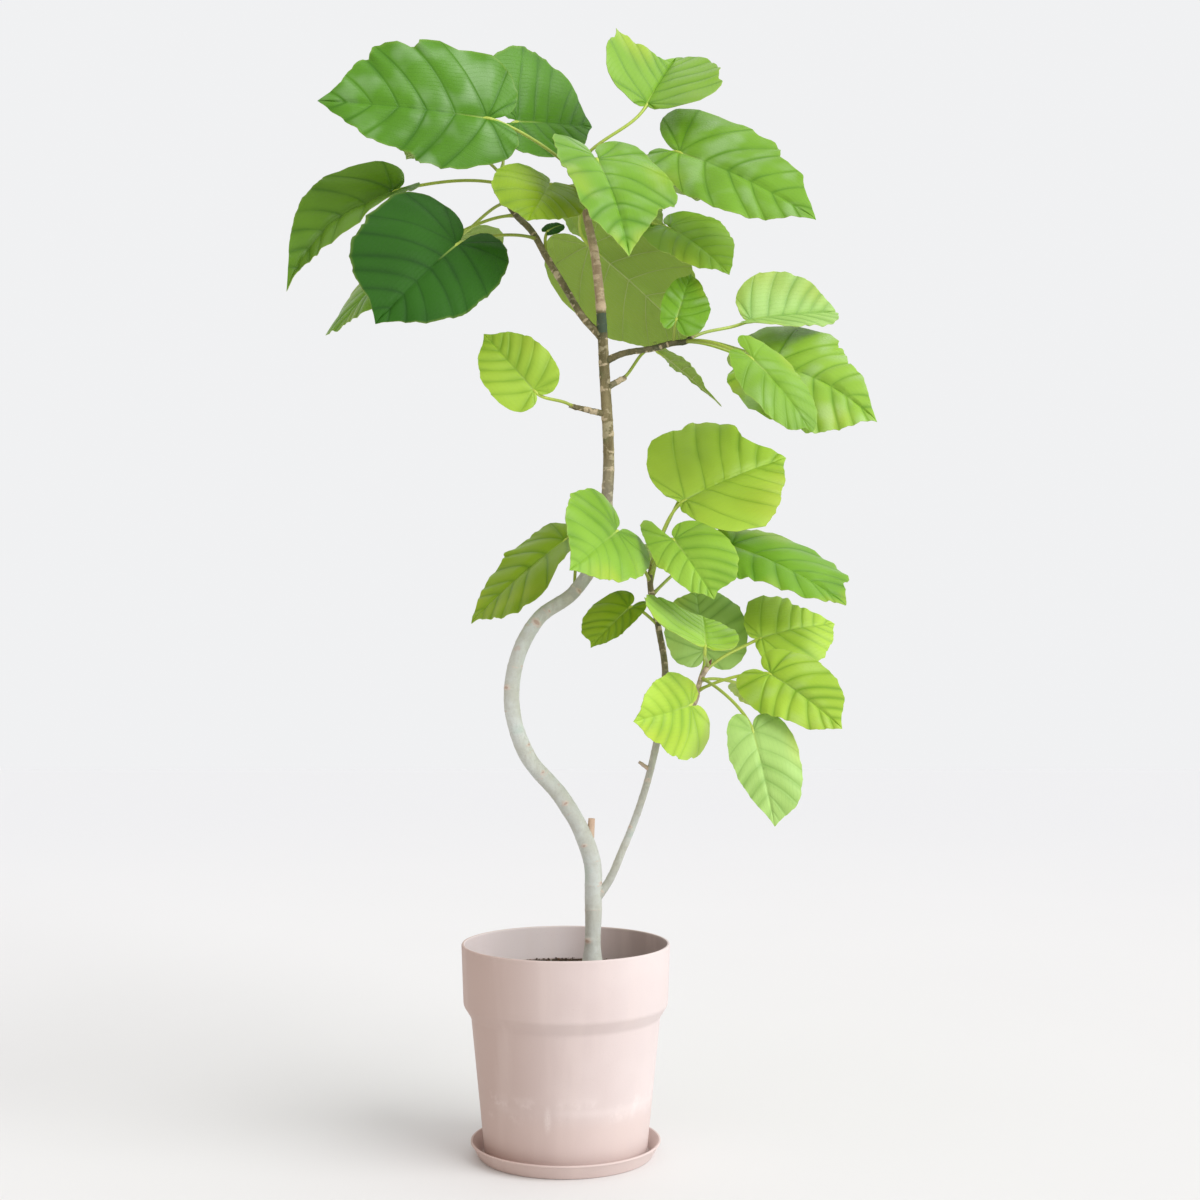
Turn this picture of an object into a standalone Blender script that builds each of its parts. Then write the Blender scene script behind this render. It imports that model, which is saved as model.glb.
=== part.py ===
"""Potted ficus umbellata: a saucer, a pot of soil, a bowed trunk, a second stem, boughs and leaves.

Metres, +Z up, origin under the middle of the saucer, -Y towards the viewer.
"""

import math
from typing import NamedTuple

import bmesh
import bpy
import numpy as np

GAP = 0.0003  # clearance between pieces that touch

# Pot and saucer
POT_RIM_R = 0.1250
POT_TOP_Z = 0.2530
COLLAR_FOOT_R = 0.1225
COLLAR_FOOT_Z = 0.1810
BODY_TOP_R = 0.1133
BODY_TOP_Z = 0.1660
BODY_FOOT_R = 0.0975
POT_WALL = 0.0030
POT_FLOOR = 0.0040
SAUCER_RIM_R = 0.1139
SAUCER_FOOT_R = 0.1047
SAUCER_HEIGHT = 0.0180
SAUCER_WALL = 0.0025
SAUCER_FLOOR = 0.0030
SOIL_BELOW_RIM = 0.0405
ROUND_SIDES = 40

# Limbs
LIMB_SIDES = 8
LIMB_STEP = 0.018  # distance between a limb's rings
STALK_SIDES = 5
STALK_RINGS = 7
STALK_D = 0.0042
STALK_SINK = 0.011  # how far a stalk runs on into its blade
SPUR_OVERLAP = 0.004  # how far a stalk starts inside its spur

# Leaves
BLADE_THICKNESS = 0.0024
VEINS = 11  # rows of the blade's mesh on each side of the midrib
ACROSS = 2  # steps from the midrib to the margin

SOIL_Z = POT_TOP_Z - SOIL_BELOW_RIM

# The margin of half a blade: degrees off the midrib, and reach as a share of the length
MARGIN = (
    (0, 1.00),
    (3, 0.95),
    (7, 0.905),
    (12, 0.88),
    (22, 0.83),
    (35, 0.745),
    (45, 0.68),
    (62, 0.575),
    (90, 0.465),
    (120, 0.41),
    (140, 0.35),
    (156, 0.265),
    (168, 0.16),
    (180, 0.02),
)
FAN_SHARE = 0.45  # share of the vein rows that fan out from the stalk
FAN_END = 62.0  # degrees off the midrib of the last of them
VEIN_BOW = 0.04  # bend of a side vein, as a share of its length


class Leaf(NamedTuple):
    """A leaf's stalk leaves its limb at a distance along it, and meets the blade at the umbo.

    face is the way the upper side looks. Angles are in degrees, and other shares are of the length.
    """

    at: float
    umbo: tuple
    tip: tuple
    face: tuple
    width: float = 0.88
    skew: float = 0.0  # how much wider the half on ahead x face is than the other
    arch: float = 25.0  # bend of the midrib down from stalk to tip
    curl: float = 25.0  # bend of each half down from midrib to margin
    fold: float = 8.0  # rise of each half from flat
    twist: float = 0.0
    wave: float = 0.012
    phase: float = 0.0
    lobes: float = 1.0
    sinus: float = 9.0  # half the open angle between the lobes
    rise: float = 0.3  # how far the stalk first climbs
    sway: float = 0.0  # bow of the midrib towards ahead x face
    plus: tuple = ((0, 0),)  # growth of the half on ahead x face, at places round its margin
    minus: tuple = ((0, 0),)  # growth of the other half


def smooth_between(knots, values, where):
    """Cubic curve through values at knots, read at where."""
    knots = np.asarray(knots, float)
    values = np.asarray(values, float)
    slopes = np.gradient(values, knots, axis=0)
    where = np.clip(where, knots[0], knots[-1])
    low = np.clip(np.searchsorted(knots, where, side="right") - 1, 0, len(knots) - 2)
    span = knots[low + 1] - knots[low]
    t = (where - knots[low]) / span
    if values.ndim > 1:
        t = t[..., None]
        span = span[..., None]
    return (
        values[low] * (1 + 2 * t) * (1 - t) ** 2
        + slopes[low] * span * t * (1 - t) ** 2
        + values[low + 1] * t * t * (3 - 2 * t)
        - slopes[low + 1] * span * t * t * (1 - t)
    )


class Limb:
    """A tapering round limb on a smooth line through waypoints (x, y, z, diameter)."""

    def __init__(self, *waypoints):
        rows = np.array(waypoints, float)
        chords = np.linalg.norm(np.diff(rows[:, :3], axis=0), axis=1)
        knots = np.concatenate([[0.0], np.cumsum(chords)])
        fine = np.linspace(0.0, knots[-1], int(knots[-1] / 0.002) + 2)
        self.rows = smooth_between(knots, rows, fine)
        steps = np.linalg.norm(np.diff(self.rows[:, :3], axis=0), axis=1)
        self.distances = np.concatenate([[0.0], np.cumsum(steps)])
        self.length = float(self.distances[-1])

    def read(self, distance):
        """Places and diameters at distances from the limb's foot."""
        found = [np.interp(distance, self.distances, self.rows[:, k]) for k in range(4)]
        return np.stack(found[:3], axis=-1), found[3]

    def heading(self, distance):
        """The way the limb runs at distances from its foot."""
        ahead, _ = self.read(np.minimum(distance + 0.002, self.length))
        behind, _ = self.read(np.maximum(distance - 0.002, 0.0))
        steps = ahead - behind
        return steps / np.linalg.norm(steps, axis=1)[:, None]


def unit(vector):
    vector = np.asarray(vector, float)
    return vector / np.linalg.norm(vector)


def tube(places, tangents, diameters, sides):
    """Points and faces of a closed tube along places."""
    across = np.cross(tangents[0], (0.0, 1.0, 0.2))
    turn = np.arange(sides) * math.tau / sides
    points = []
    for place, tangent, diameter in zip(places, tangents, diameters):
        across = unit(across - tangent * np.dot(across, tangent))
        other = np.cross(tangent, across)
        ring = np.cos(turn)[:, None] * across + np.sin(turn)[:, None] * other
        points.append(place + ring * diameter / 2)
    faces = [tuple(range(sides))[::-1]]
    for low in range(0, (len(places) - 1) * sides, sides):
        for k in range(sides):
            after = (k + 1) % sides
            faces.append((low + k, low + after, low + sides + after, low + sides + k))
    last = (len(places) - 1) * sides
    faces.append(tuple(range(last, last + sides)))
    return np.concatenate(points), faces


def new_object(name, points, faces, material):
    mesh = bpy.data.meshes.new(name)
    mesh.from_pydata([tuple(p) for p in points], [], faces)
    mesh.materials.append(material)
    mesh.update()
    part = bpy.data.objects.new(name, mesh)
    bpy.context.scene.collection.objects.link(part)
    return part


def clean(part, merge=1e-5):
    """Joins doubled points and turns the faces outwards."""
    bm = bmesh.new()
    bm.from_mesh(part.data)
    bmesh.ops.remove_doubles(bm, verts=bm.verts, dist=merge)
    bmesh.ops.dissolve_degenerate(bm, edges=bm.edges, dist=merge)
    bmesh.ops.recalc_face_normals(bm, faces=bm.faces)
    bm.to_mesh(part.data)
    bm.free()


def shade(part, degrees=40.0):
    part.data.shade_smooth()
    part.data.set_sharp_from_angle(angle=math.radians(degrees))


def settle(part):
    """Applies the modifiers of a part."""
    graph = bpy.context.evaluated_depsgraph_get()
    mesh = bpy.data.meshes.new_from_object(part.evaluated_get(graph))
    part.modifiers.clear()
    old = part.data
    part.data = mesh
    mesh.name = part.name
    bpy.data.meshes.remove(old)


def cut_by(part, cutter):
    """Takes cutter's space out of part, and removes cutter."""
    cutter.display_type = "WIRE"
    cutter.hide_render = True
    modifier = part.modifiers.new("seat", "BOOLEAN")
    modifier.operation = "DIFFERENCE"
    modifier.object = cutter
    modifier.solver = "MANIFOLD"
    settle(part)
    bpy.data.objects.remove(cutter)


def fuse(part, others):
    """One union of part with the others, which are then removed."""
    group = bpy.data.collections.new(part.name + "_pieces")
    bpy.context.scene.collection.children.link(group)
    for other in others:
        bpy.context.scene.collection.objects.unlink(other)
        group.objects.link(other)
    modifier = part.modifiers.new("fuse", "BOOLEAN")
    modifier.operation = "UNION"
    modifier.operand_type = "COLLECTION"
    modifier.collection = group
    modifier.solver = "MANIFOLD"
    settle(part)
    for other in others:
        bpy.data.objects.remove(other)
    bpy.data.collections.remove(group)


def limb_piece(name, limb, start, end, material, grow=0.0):
    """The stretch of a limb from start to end, with grow added to its radius."""
    rings = max(2, round((end - start) / LIMB_STEP) + 1)
    distances = np.linspace(start, end, rings)
    places, diameters = limb.read(distances)
    shape = tube(places, limb.heading(distances), diameters + 2 * grow, LIMB_SIDES)
    part = new_object(name, *shape, material)
    clean(part)
    shade(part)
    return part


def stretch_piece(name, stretch, material, grow=0.0):
    """The piece of a limb that a stretch names, ended just short of the piece after it."""
    limb, start, end = stretch
    return limb_piece(name, limb, start, end - GAP, material, grow)


def seat(part, carrier, material):
    """Cuts the foot of part clear of the stretch that carries it."""
    cut_by(part, stretch_piece("cutter", STRETCHES[carrier], material, GAP))
    shade(part)


def turned(name, profile, material, sides=ROUND_SIDES):
    """A solid of revolution. The profile (r, z) runs from the axis under it to the axis over it."""
    turn = np.arange(sides) * math.tau / sides
    points = []
    rings = []
    for r, z in profile:
        if r == 0:
            rings.append([len(points)] * sides)
            points.append((0.0, 0.0, z))
            continue
        rings.append(list(range(len(points), len(points) + sides)))
        points.extend((r * math.cos(a), r * math.sin(a), z) for a in turn)
    faces = []
    for low, high in zip(rings, rings[1:]):
        for k in range(sides):
            after = (k + 1) % sides
            corners = dict.fromkeys((low[k], low[after], high[after], high[k]))
            if len(corners) > 2:
                faces.append(tuple(corners))
    part = new_object(name, points, faces, material)
    clean(part)
    shade(part, 30.0)
    return part


def blade_half(leaf, side, rows, steps):
    """Places across and along one half of a flat blade of length 1, and how far waves lift each."""
    row = np.linspace(0.0, 1.0, rows)[:, None]
    step = np.linspace(0.0, 1.0, steps)[None, :]
    along = np.clip((row - FAN_SHARE) / (1 - FAN_SHARE), 0.0, 1.0)
    widest = 180.0 - leaf.sinus
    fan = widest + (FAN_END - widest) * row / FAN_SHARE
    degrees = np.where(row < FAN_SHARE, fan, FAN_END * (1 - along) ** 1.45)
    angles, reaches = zip(*MARGIN)
    reach = smooth_between(angles, reaches, degrees)
    reach = reach * (1 + (leaf.lobes - 1) * np.clip((degrees - 90) / 60, 0.0, 1.0))
    reach = reach * (1 + np.interp(row, *zip(*(leaf.plus if side > 0 else leaf.minus))))
    end_x = reach * np.sin(np.radians(degrees))
    end_y = reach * np.cos(np.radians(degrees))
    span_x = end_x
    span_y = end_y - along
    bow = VEIN_BOW * np.clip(row / FAN_SHARE * 2 - 1, -1.0, 1.0) * np.sin(math.pi * step)
    x = span_x * step + span_y * bow
    y = along + span_y * step - span_x * bow
    reach_x = max(r * math.sin(math.radians(a)) for a, r in MARGIN)
    x = x * leaf.width * (1 + side * leaf.skew) / (2 * reach_x)
    ripple = np.sin(math.tau * (3.5 * row + leaf.phase + 0.31 * side))
    lift = leaf.wave * step**2 * ripple * np.sin(math.pi * np.clip(row * 1.04, 0, 1)) ** 0.5
    return x, y, lift


def blade_grid(leaf, side, rows, steps):
    """Grid of points on one half of the blade in its place."""
    x, y, lift = blade_half(leaf, side, rows, steps)
    curl = math.radians(leaf.curl) * 2 / leaf.width
    bent = np.sin(curl * x) / curl if abs(curl) > 1e-4 else x
    drop = (1 - np.cos(curl * x)) / curl if abs(curl) > 1e-4 else 0 * x
    height = lift - drop
    rise = math.radians(leaf.fold)
    out = bent * math.cos(rise) - height * math.sin(rise)
    height = bent * math.sin(rise) + height * math.cos(rise)
    out = out * side + leaf.sway * np.sin(math.pi * y)
    turn = np.radians(leaf.twist) * y
    out, height = out * np.cos(turn) - height * np.sin(turn), out * np.sin(turn) + height * np.cos(turn)
    arch = math.radians(leaf.arch if abs(leaf.arch) > 0.1 else 0.1)
    forward = np.sin(arch * y) / arch + height * np.sin(arch * y)
    upward = -(1 - np.cos(arch * y)) / arch + height * np.cos(arch * y)
    chord = np.array([math.sin(arch) / arch, -(1 - math.cos(arch)) / arch])
    reach = float(np.linalg.norm(chord))
    chord = chord / reach
    near = forward * chord[0] + upward * chord[1]
    over = upward * chord[0] - forward * chord[1]
    umbo = np.array(leaf.umbo)
    line = np.array(leaf.tip) - umbo
    length = float(np.linalg.norm(line)) / reach
    ahead = unit(line)
    face = np.array(leaf.face, float)
    face = unit(face - ahead * np.dot(face, ahead))
    right = np.cross(ahead, face)
    grid = out[..., None] * right + near[..., None] * ahead + over[..., None] * face
    return umbo + length * grid


def blade_axes(leaf):
    """The way the midrib starts from the umbo, and the way the blade faces there."""
    ahead = unit(np.subtract(leaf.tip, leaf.umbo))
    face = np.array(leaf.face, float)
    face = unit(face - ahead * np.dot(face, ahead))
    half = math.radians(leaf.arch) / 2
    return ahead * math.cos(half) + face * math.sin(half), face * math.cos(half) - ahead * math.sin(half)


def blade(name, leaf, material):
    """A closed thin blade."""
    points = []
    faces = []
    for side in (-1, 1):
        grid = blade_grid(leaf, side, VEINS, ACROSS + 1)
        base = len(points)
        points.extend(grid.reshape(-1, 3))
        for i in range(VEINS - 1):
            for j in range(ACROSS):
                a = base + i * (ACROSS + 1) + j
                quad = (a, a + 1, a + ACROSS + 2, a + ACROSS + 1)
                faces.append(quad[::-1] if side > 0 else quad)
    part = new_object(name, points, faces, material)
    bm = bmesh.new()
    bm.from_mesh(part.data)
    bmesh.ops.remove_doubles(bm, verts=bm.verts, dist=1e-5)
    bmesh.ops.recalc_face_normals(bm, faces=bm.faces)
    bmesh.ops.triangulate(bm, faces=bm.faces)
    bmesh.ops.solidify(bm, geom=bm.faces[:], thickness=BLADE_THICKNESS)
    bmesh.ops.recalc_face_normals(bm, faces=bm.faces)
    bm.to_mesh(part.data)
    bm.free()
    return part


def stalk_line(leaf, root, count=STALK_RINGS):
    """Places along a leaf's stalk, from inside its limb into the blade."""
    umbo = np.array(leaf.umbo)
    ahead, face = blade_axes(leaf)
    gap = float(np.linalg.norm(umbo - root))
    first = unit(unit(umbo - root) + np.array([0.0, 0.0, leaf.rise])) * gap * 0.36
    last = unit(ahead * 0.9 + face * 0.35) * gap * 0.36
    t = np.linspace(0.0, 1.0, count)[:, None]
    line = (
        root * (1 - t) ** 3
        + (root + first) * 3 * t * (1 - t) ** 2
        + (umbo - last) * 3 * t * t * (1 - t)
        + umbo * t**3
    )
    line[-1] = umbo - face * BLADE_THICKNESS / 2
    sunk = umbo + ahead * STALK_SINK - face * BLADE_THICKNESS / 2
    return np.vstack([line, sunk])


def stalk(name, leaf, root, material):
    line = stalk_line(leaf, root)
    widths = np.linspace(1.15, 0.95, len(line)) * STALK_D
    widths[-1] *= 0.6
    steps = np.gradient(line, axis=0)
    tangents = steps / np.linalg.norm(steps, axis=1)[:, None]
    part = new_object(name, *tube(line, tangents, widths, STALK_SIDES), material)
    clean(part)
    return part


def leaf_pieces(name, leaf, root, material):
    return [blade(name + "_blade", leaf, material), stalk(name + "_stalk", leaf, root, material)]


def crown(name, stretch, leaves, material):
    """A mass: what is left of a limb after a stretch, with its leaves fused to it."""
    limb, _, start = stretch
    stem = limb_piece(name, limb, start, limb.length, material)
    pieces = []
    for label, leaf in leaves.items():
        root, _ = limb.read(leaf.at)
        pieces += leaf_pieces(label, leaf, root, material)
    fuse(stem, pieces)
    shade(stem)
    return stem


def lone_leaf(name, carrier, leaf, material):
    """A single leaf on a limb or on a limb's spur."""
    root, _ = STRETCHES[carrier][0].read(leaf.at)
    others = [blade(name + "_blade", leaf, material)]
    spur = SPURS.get(name)
    if spur:
        root, _ = spur.read(spur.length - SPUR_OVERLAP)
        others.append(limb_piece(name + "_spur", spur, 0.0, spur.length, material))
    part = stalk(name, leaf, root, material)
    fuse(part, others)
    seat(part, carrier, material)
    return part


def material(name, colour, roughness):
    """A plain Principled material with an sRGB colour."""
    made = bpy.data.materials.new(name)
    made.use_nodes = True
    shader = made.node_tree.nodes["Principled BSDF"]
    linear = [((c / 255 + 0.055) / 1.055) ** 2.4 for c in colour]
    shader.inputs["Base Color"].default_value = (*linear, 1.0)
    shader.inputs["Roughness"].default_value = roughness
    shader.inputs["Metallic"].default_value = 0.0
    return made


TRUNK = Limb(
    (0.032, 0.000, SOIL_Z + GAP, 0.0310),
    (0.032, 0.000, 0.234, 0.0225),
    (0.033, 0.000, 0.300, 0.0205),
    (0.031, 0.000, 0.352, 0.0210),
    (0.017, -0.004, 0.391, 0.0200),
    (-0.004, -0.010, 0.427, 0.0195),
    (-0.046, -0.021, 0.480, 0.0190),
    (-0.063, -0.026, 0.534, 0.0185),
    (-0.059, -0.026, 0.588, 0.0180),
    (-0.032, -0.018, 0.642, 0.0170),
    (0.009, -0.004, 0.673, 0.0160),
    (0.041, 0.006, 0.725, 0.0150),
    (0.050, 0.004, 0.794, 0.0140),
    (0.046, 0.000, 0.945, 0.0125),
    (0.041, 0.000, 1.026, 0.0115),
    (0.034, 0.000, 1.083, 0.0105),
    (0.026, 0.002, 1.121, 0.0095),
    (0.017, 0.004, 1.163, 0.0080),
    (0.012, 0.004, 1.192, 0.0050),
)
RIGHT_STEM = Limb(
    (0.034, 0.000, 0.304, 0.0110),
    (0.046, 0.000, 0.318, 0.0100),
    (0.067, -0.004, 0.362, 0.0090),
    (0.098, -0.012, 0.449, 0.0085),
    (0.115, -0.010, 0.533, 0.0085),
    (0.119, -0.006, 0.579, 0.0080),
    (0.111, -0.002, 0.632, 0.0075),
    (0.101, 0.000, 0.691, 0.0065),
    (0.102, 0.000, 0.708, 0.0045),
)
SIDE_BRANCH = Limb(
    (0.111, -0.011, 0.503, 0.0070),
    (0.127, -0.008, 0.518, 0.0065),
    (0.155, 0.000, 0.542, 0.0065),
    (0.161, 0.003, 0.566, 0.0060),
    (0.170, 0.003, 0.584, 0.0060),
    (0.176, 0.003, 0.594, 0.0035),
)
LEFT_BOUGH = Limb(
    (0.043, 0.000, 0.980, 0.0090),
    (0.021, 0.006, 1.004, 0.0085),
    (0.005, 0.012, 1.031, 0.0080),
    (-0.007, 0.016, 1.052, 0.0080),
    (-0.022, 0.022, 1.077, 0.0080),
    (-0.044, 0.030, 1.116, 0.0080),
    (-0.063, 0.034, 1.136, 0.0075),
    (-0.078, 0.040, 1.166, 0.0065),
    (-0.079, 0.045, 1.202, 0.0045),
)
RIGHT_BOUGH = Limb(
    (0.046, 0.000, 0.950, 0.0080),
    (0.064, -0.004, 0.958, 0.0075),
    (0.107, -0.012, 0.965, 0.0070),
    (0.127, -0.015, 0.970, 0.0070),
    (0.146, -0.018, 0.973, 0.0065),
    (0.152, -0.018, 0.980, 0.0050),
    (0.161, -0.018, 0.997, 0.0020),
)
TWIG_SPUR = Limb(
    (0.101, -0.012, 0.461, 0.0050),
    (0.0875, -0.016, 0.471, 0.0035),
)
STUB = Limb(
    (0.029, 0.000, 0.368, 0.0088),
    (0.031, 0.000, 0.402, 0.0080),
)

CROWN_TOP = {
    "far_left": Leaf(
        1.035, (-0.093, -0.020, 1.238), (-0.289, -0.060, 1.246), (0.0, -1.0, 0.15),
        width=0.82, skew=0.10, arch=15, curl=15, fold=5, lobes=0.75, sinus=5,
        plus=((0, -0.2), (0.15, -0.14), (0.24, -0.08), (0.34, 0), (0.43, -0.11), (0.50, 0.04),
              (0.565, -0.08), (0.65, 0.05), (0.71, -0.03), (0.8, -0.02), (1, 0)),
        minus=((0, -0.1), (0.15, -0.08), (0.3, -0.12), (0.45, -0.05), (0.52, -0.06), (0.6, -0.2),
               (0.66, -0.1), (0.75, -0.08), (0.9, 0)),
    ),
    "front": Leaf(
        1.022, (0.0384, -0.040, 1.1834), (0.0739, -0.140, 1.0471), (0.35, -0.8, 0.55),
        width=0.92, skew=-0.08, curl=20, fold=13, lobes=1.15,
        plus=((0.15, -0.05), (0.3, -0.18), (0.45, -0.24), (0.6, -0.2), (0.75, -0.05), (0.85, 0)),
        minus=((0, 0), (0.15, -0.03), (0.3, -0.09), (0.4, -0.09), (0.5, -0.04), (0.55, -0.04),
               (0.62, -0.12), (0.7, -0.19), (0.78, -0.14), (0.9, -0.05), (1, 0)),
    ),
    "saddle": Leaf(
        1.042, (0.099, 0.030, 1.270), (0.138, 0.130, 1.357), (0.32, -0.53, 0.85),
        width=1.08, skew=0.07, arch=12, curl=0, fold=27, lobes=0.6, rise=0.9,
        plus=((0, -0.5), (0.15, -0.4), (0.25, -0.2), (0.35, 0), (0.45, 0.06), (0.52, -0.03),
              (0.6, 0), (0.75, 0.05), (0.82, 0.08), (0.9, 0.05), (1, 0)),
        minus=((0, -0.2), (0.25, -0.03), (0.35, 0.12), (0.42, 0.18), (0.47, 0.13), (0.53, 0.20),
               (0.57, 0.08), (0.62, -0.05), (0.7, -0.14), (0.8, -0.18), (0.9, -0.15), (1, 0)),
    ),
    "right": Leaf(
        1.028, (0.1366, 0.0, 1.203), (0.2919, -0.070, 1.105), (-0.2, -0.75, 0.62),
        width=0.74, skew=-0.15, arch=22, curl=18, fold=4,
        plus=((0, -0.3), (0.15, -0.35), (0.3, -0.35), (0.4, -0.2), (0.45, -0.1), (0.55, 0)),
        minus=((0, -0.5), (0.05, -0.35), (0.1, 0.0), (0.15, 0.3), (0.2, 0.42), (0.3, 0.26), (0.38, 0),
               (0.45, -0.06), (0.5, -0.08), (0.55, -0.05), (0.6, -0.1), (0.67, -0.17), (0.75, -0.06),
               (0.82, -0.05), (0.9, 0)),
    ),
    "right_back": Leaf(
        1.010, (0.126, 0.045, 1.122), (0.195, -0.020, 1.051), (0.2, -0.8, 0.4),
        width=0.95, skew=-0.25,
        minus=((0, 0), (0.3, -0.05), (0.42, -0.17), (0.6, -0.2), (0.75, -0.12), (0.9, 0)),
    ),
    "left_low": Leaf(
        1.016, (-0.018, -0.024, 1.158), (-0.041, -0.100, 1.097), (0.36, -0.6, 0.7),
        width=1.02, curl=12,
        plus=((0.2, 0), (0.35, 0.1), (0.45, 0.17), (0.6, 0.25), (0.75, 0.22), (0.88, 0.1), (1, 0)),
    ),
    "underside": Leaf(
        1.010, (0.028, 0.090, 1.110), (0.161, 0.120, 0.991), (0.0, 0.85, 0.5), curl=15,
        minus=((0, -0.1), (0.22, -0.14), (0.35, 0)),
    ),
    "back": Leaf(
        1.030, (0.045, 0.100, 1.175), (0.080, 0.235, 1.120), (0.1, 0.5, 0.9),
    ),
    "back_right": Leaf(
        1.033, (0.165, 0.105, 1.196), (0.240, 0.205, 1.187), (0.2, 0.4, 0.9), width=0.82,
    ),
}
CROWN_LEFT = {
    "top_back": Leaf(
        0.250, (-0.060, 0.060, 1.256), (0.031, 0.140, 1.271), (0.4, -0.9, 0.15),
        width=1.15, skew=-0.33, arch=12, curl=12,
        minus=((0, -0.15), (0.1, -0.1), (0.2, 0.08), (0.35, 0.1), (0.45, 0.05), (0.6, -0.03), (0.75, 0)),
    ),
    "far_left": Leaf(
        0.235, (-0.2115, 0.035, 1.1642), (-0.333, -0.015, 1.0318), (-0.18, -0.83, 0.52),
        width=0.66, arch=25, curl=15, fold=30, sway=0.11, lobes=0.8,
        plus=((0, -0.55), (0.1, -0.5), (0.2, -0.3), (0.3, -0.13), (0.45, -0.11), (0.6, -0.17),
              (0.75, -0.16), (0.9, -0.05), (1, 0)),
        minus=((0, -0.5), (0.2, -0.4), (0.45, -0.35), (0.6, -0.12), (0.75, -0.08), (0.9, -0.1), (1, 0)),
    ),
    "front": Leaf(
        0.150, (-0.126, -0.060, 1.079), (-0.210, -0.150, 0.970), (0.2, -0.9, 0.35),
        width=1.02, skew=0.14, curl=18, sinus=5,
        plus=((0, 0), (0.1, 0.13), (0.2, 0.20), (0.3, 0.17), (0.4, 0.04), (0.5, -0.02), (0.65, 0.02),
              (0.8, 0), (1, 0)),
        minus=((0, 1.3), (0.04, 0.9), (0.08, 0.35), (0.15, 0.12), (0.25, 0.02), (0.4, 0)),
    ),
    "low_back": Leaf(
        0.190, (-0.177, 0.050, 1.100), (-0.283, 0.080, 1.003), (-0.7, -0.5, 0.5),
        width=0.75,
        plus=((0.45, 0), (0.6, 0.3), (0.75, 0.5), (0.87, 0.2), (1, 0)),
    ),
    "small": Leaf(
        0.126, (-0.021, 0.030, 1.115), (-0.003, 0.050, 1.126), (0.0, -0.8, 0.5), width=0.7,
    ),
    "back": Leaf(
        0.210, (-0.140, 0.130, 1.130), (-0.205, 0.250, 1.060), (-0.2, 0.5, 0.8),
    ),
    "back_high": Leaf(
        0.245, (-0.135, 0.115, 1.245), (-0.215, 0.215, 1.250), (-0.2, 0.5, 0.9), width=0.85,
    ),
}
CROWN_RIGHT = {
    "upright": Leaf(
        0.087, (0.132, -0.028, 0.998), (0.151, 0.018, 1.059), (0.0, -0.9, 0.4),
        width=0.80, skew=0.15, arch=12, curl=10,
        plus=((0, 0.1), (0.2, 0.14), (0.3, 0.08), (0.45, 0), (0.6, -0.12), (0.7, -0.12), (0.85, 0)),
        minus=((0, 0), (0.2, -0.15), (0.4, -0.17), (0.6, -0.1), (0.8, 0)),
    ),
    "top_right": Leaf(
        0.104, (0.225, 0.030, 1.006), (0.334, 0.080, 1.024), (0.0, -0.7, 0.7),
        width=0.95, skew=-0.12, arch=10, curl=5, fold=28, twist=-25, lobes=0.6,
        plus=((0.7, 0), (0.85, 0.1), (0.95, 0.06), (1, 0)),
        minus=((0, -0.4), (0.1, -0.5), (0.2, -0.44), (0.3, -0.3), (0.38, -0.19), (0.45, -0.1), (0.6, -0.07),
               (0.7, -0.05), (0.8, -0.02), (0.9, 0.03), (0.96, 0.02), (1, 0)),
    ),
    "far_right": Leaf(
        0.092, (0.249, 0.001, 0.948), (0.363, -0.070, 0.870), (0.0, -0.8, 0.6),
        width=0.90, skew=-0.05, curl=20, rise=0.4, sway=-0.04,
        plus=((0, -0.2), (0.15, -0.08), (0.22, 0), (0.3, 0.06), (0.38, 0.22), (0.45, 0.22), (0.55, 0.25),
              (0.62, 0.22), (0.7, 0.13), (0.75, 0.08), (0.85, 0.05), (0.95, 0)),
        minus=((0, 0.3), (0.08, 0.75), (0.15, 0.72), (0.3, 0.4), (0.38, 0.18), (0.45, -0.05), (0.5, -0.14),
               (0.6, -0.24), (0.67, -0.25), (0.75, -0.17), (0.85, -0.08), (1, 0)),
    ),
    "front": Leaf(
        0.102, (0.218, -0.080, 0.942), (0.280, -0.110, 0.855), (0.35, -0.85, 0.4),
        width=0.66, fold=10,
        plus=((0, -0.2), (0.25, -0.15), (0.35, 0), (0.45, 0.12), (0.6, 0.16), (0.75, 0.14), (0.85, 0.08),
              (0.93, 0), (1, 0)),
        minus=((0, 0.8), (0.05, 0.5), (0.1, 0.3), (0.2, 0.1), (0.4, 0), (0.5, -0.05), (0.6, 0.02),
               (0.7, 0.05), (0.85, 0.12), (0.93, 0.08), (1, 0)),
    ),
    "back": Leaf(
        0.096, (0.250, 0.100, 0.975), (0.325, 0.200, 0.925), (0.1, 0.4, 0.9), width=0.85,
    ),
}
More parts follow.
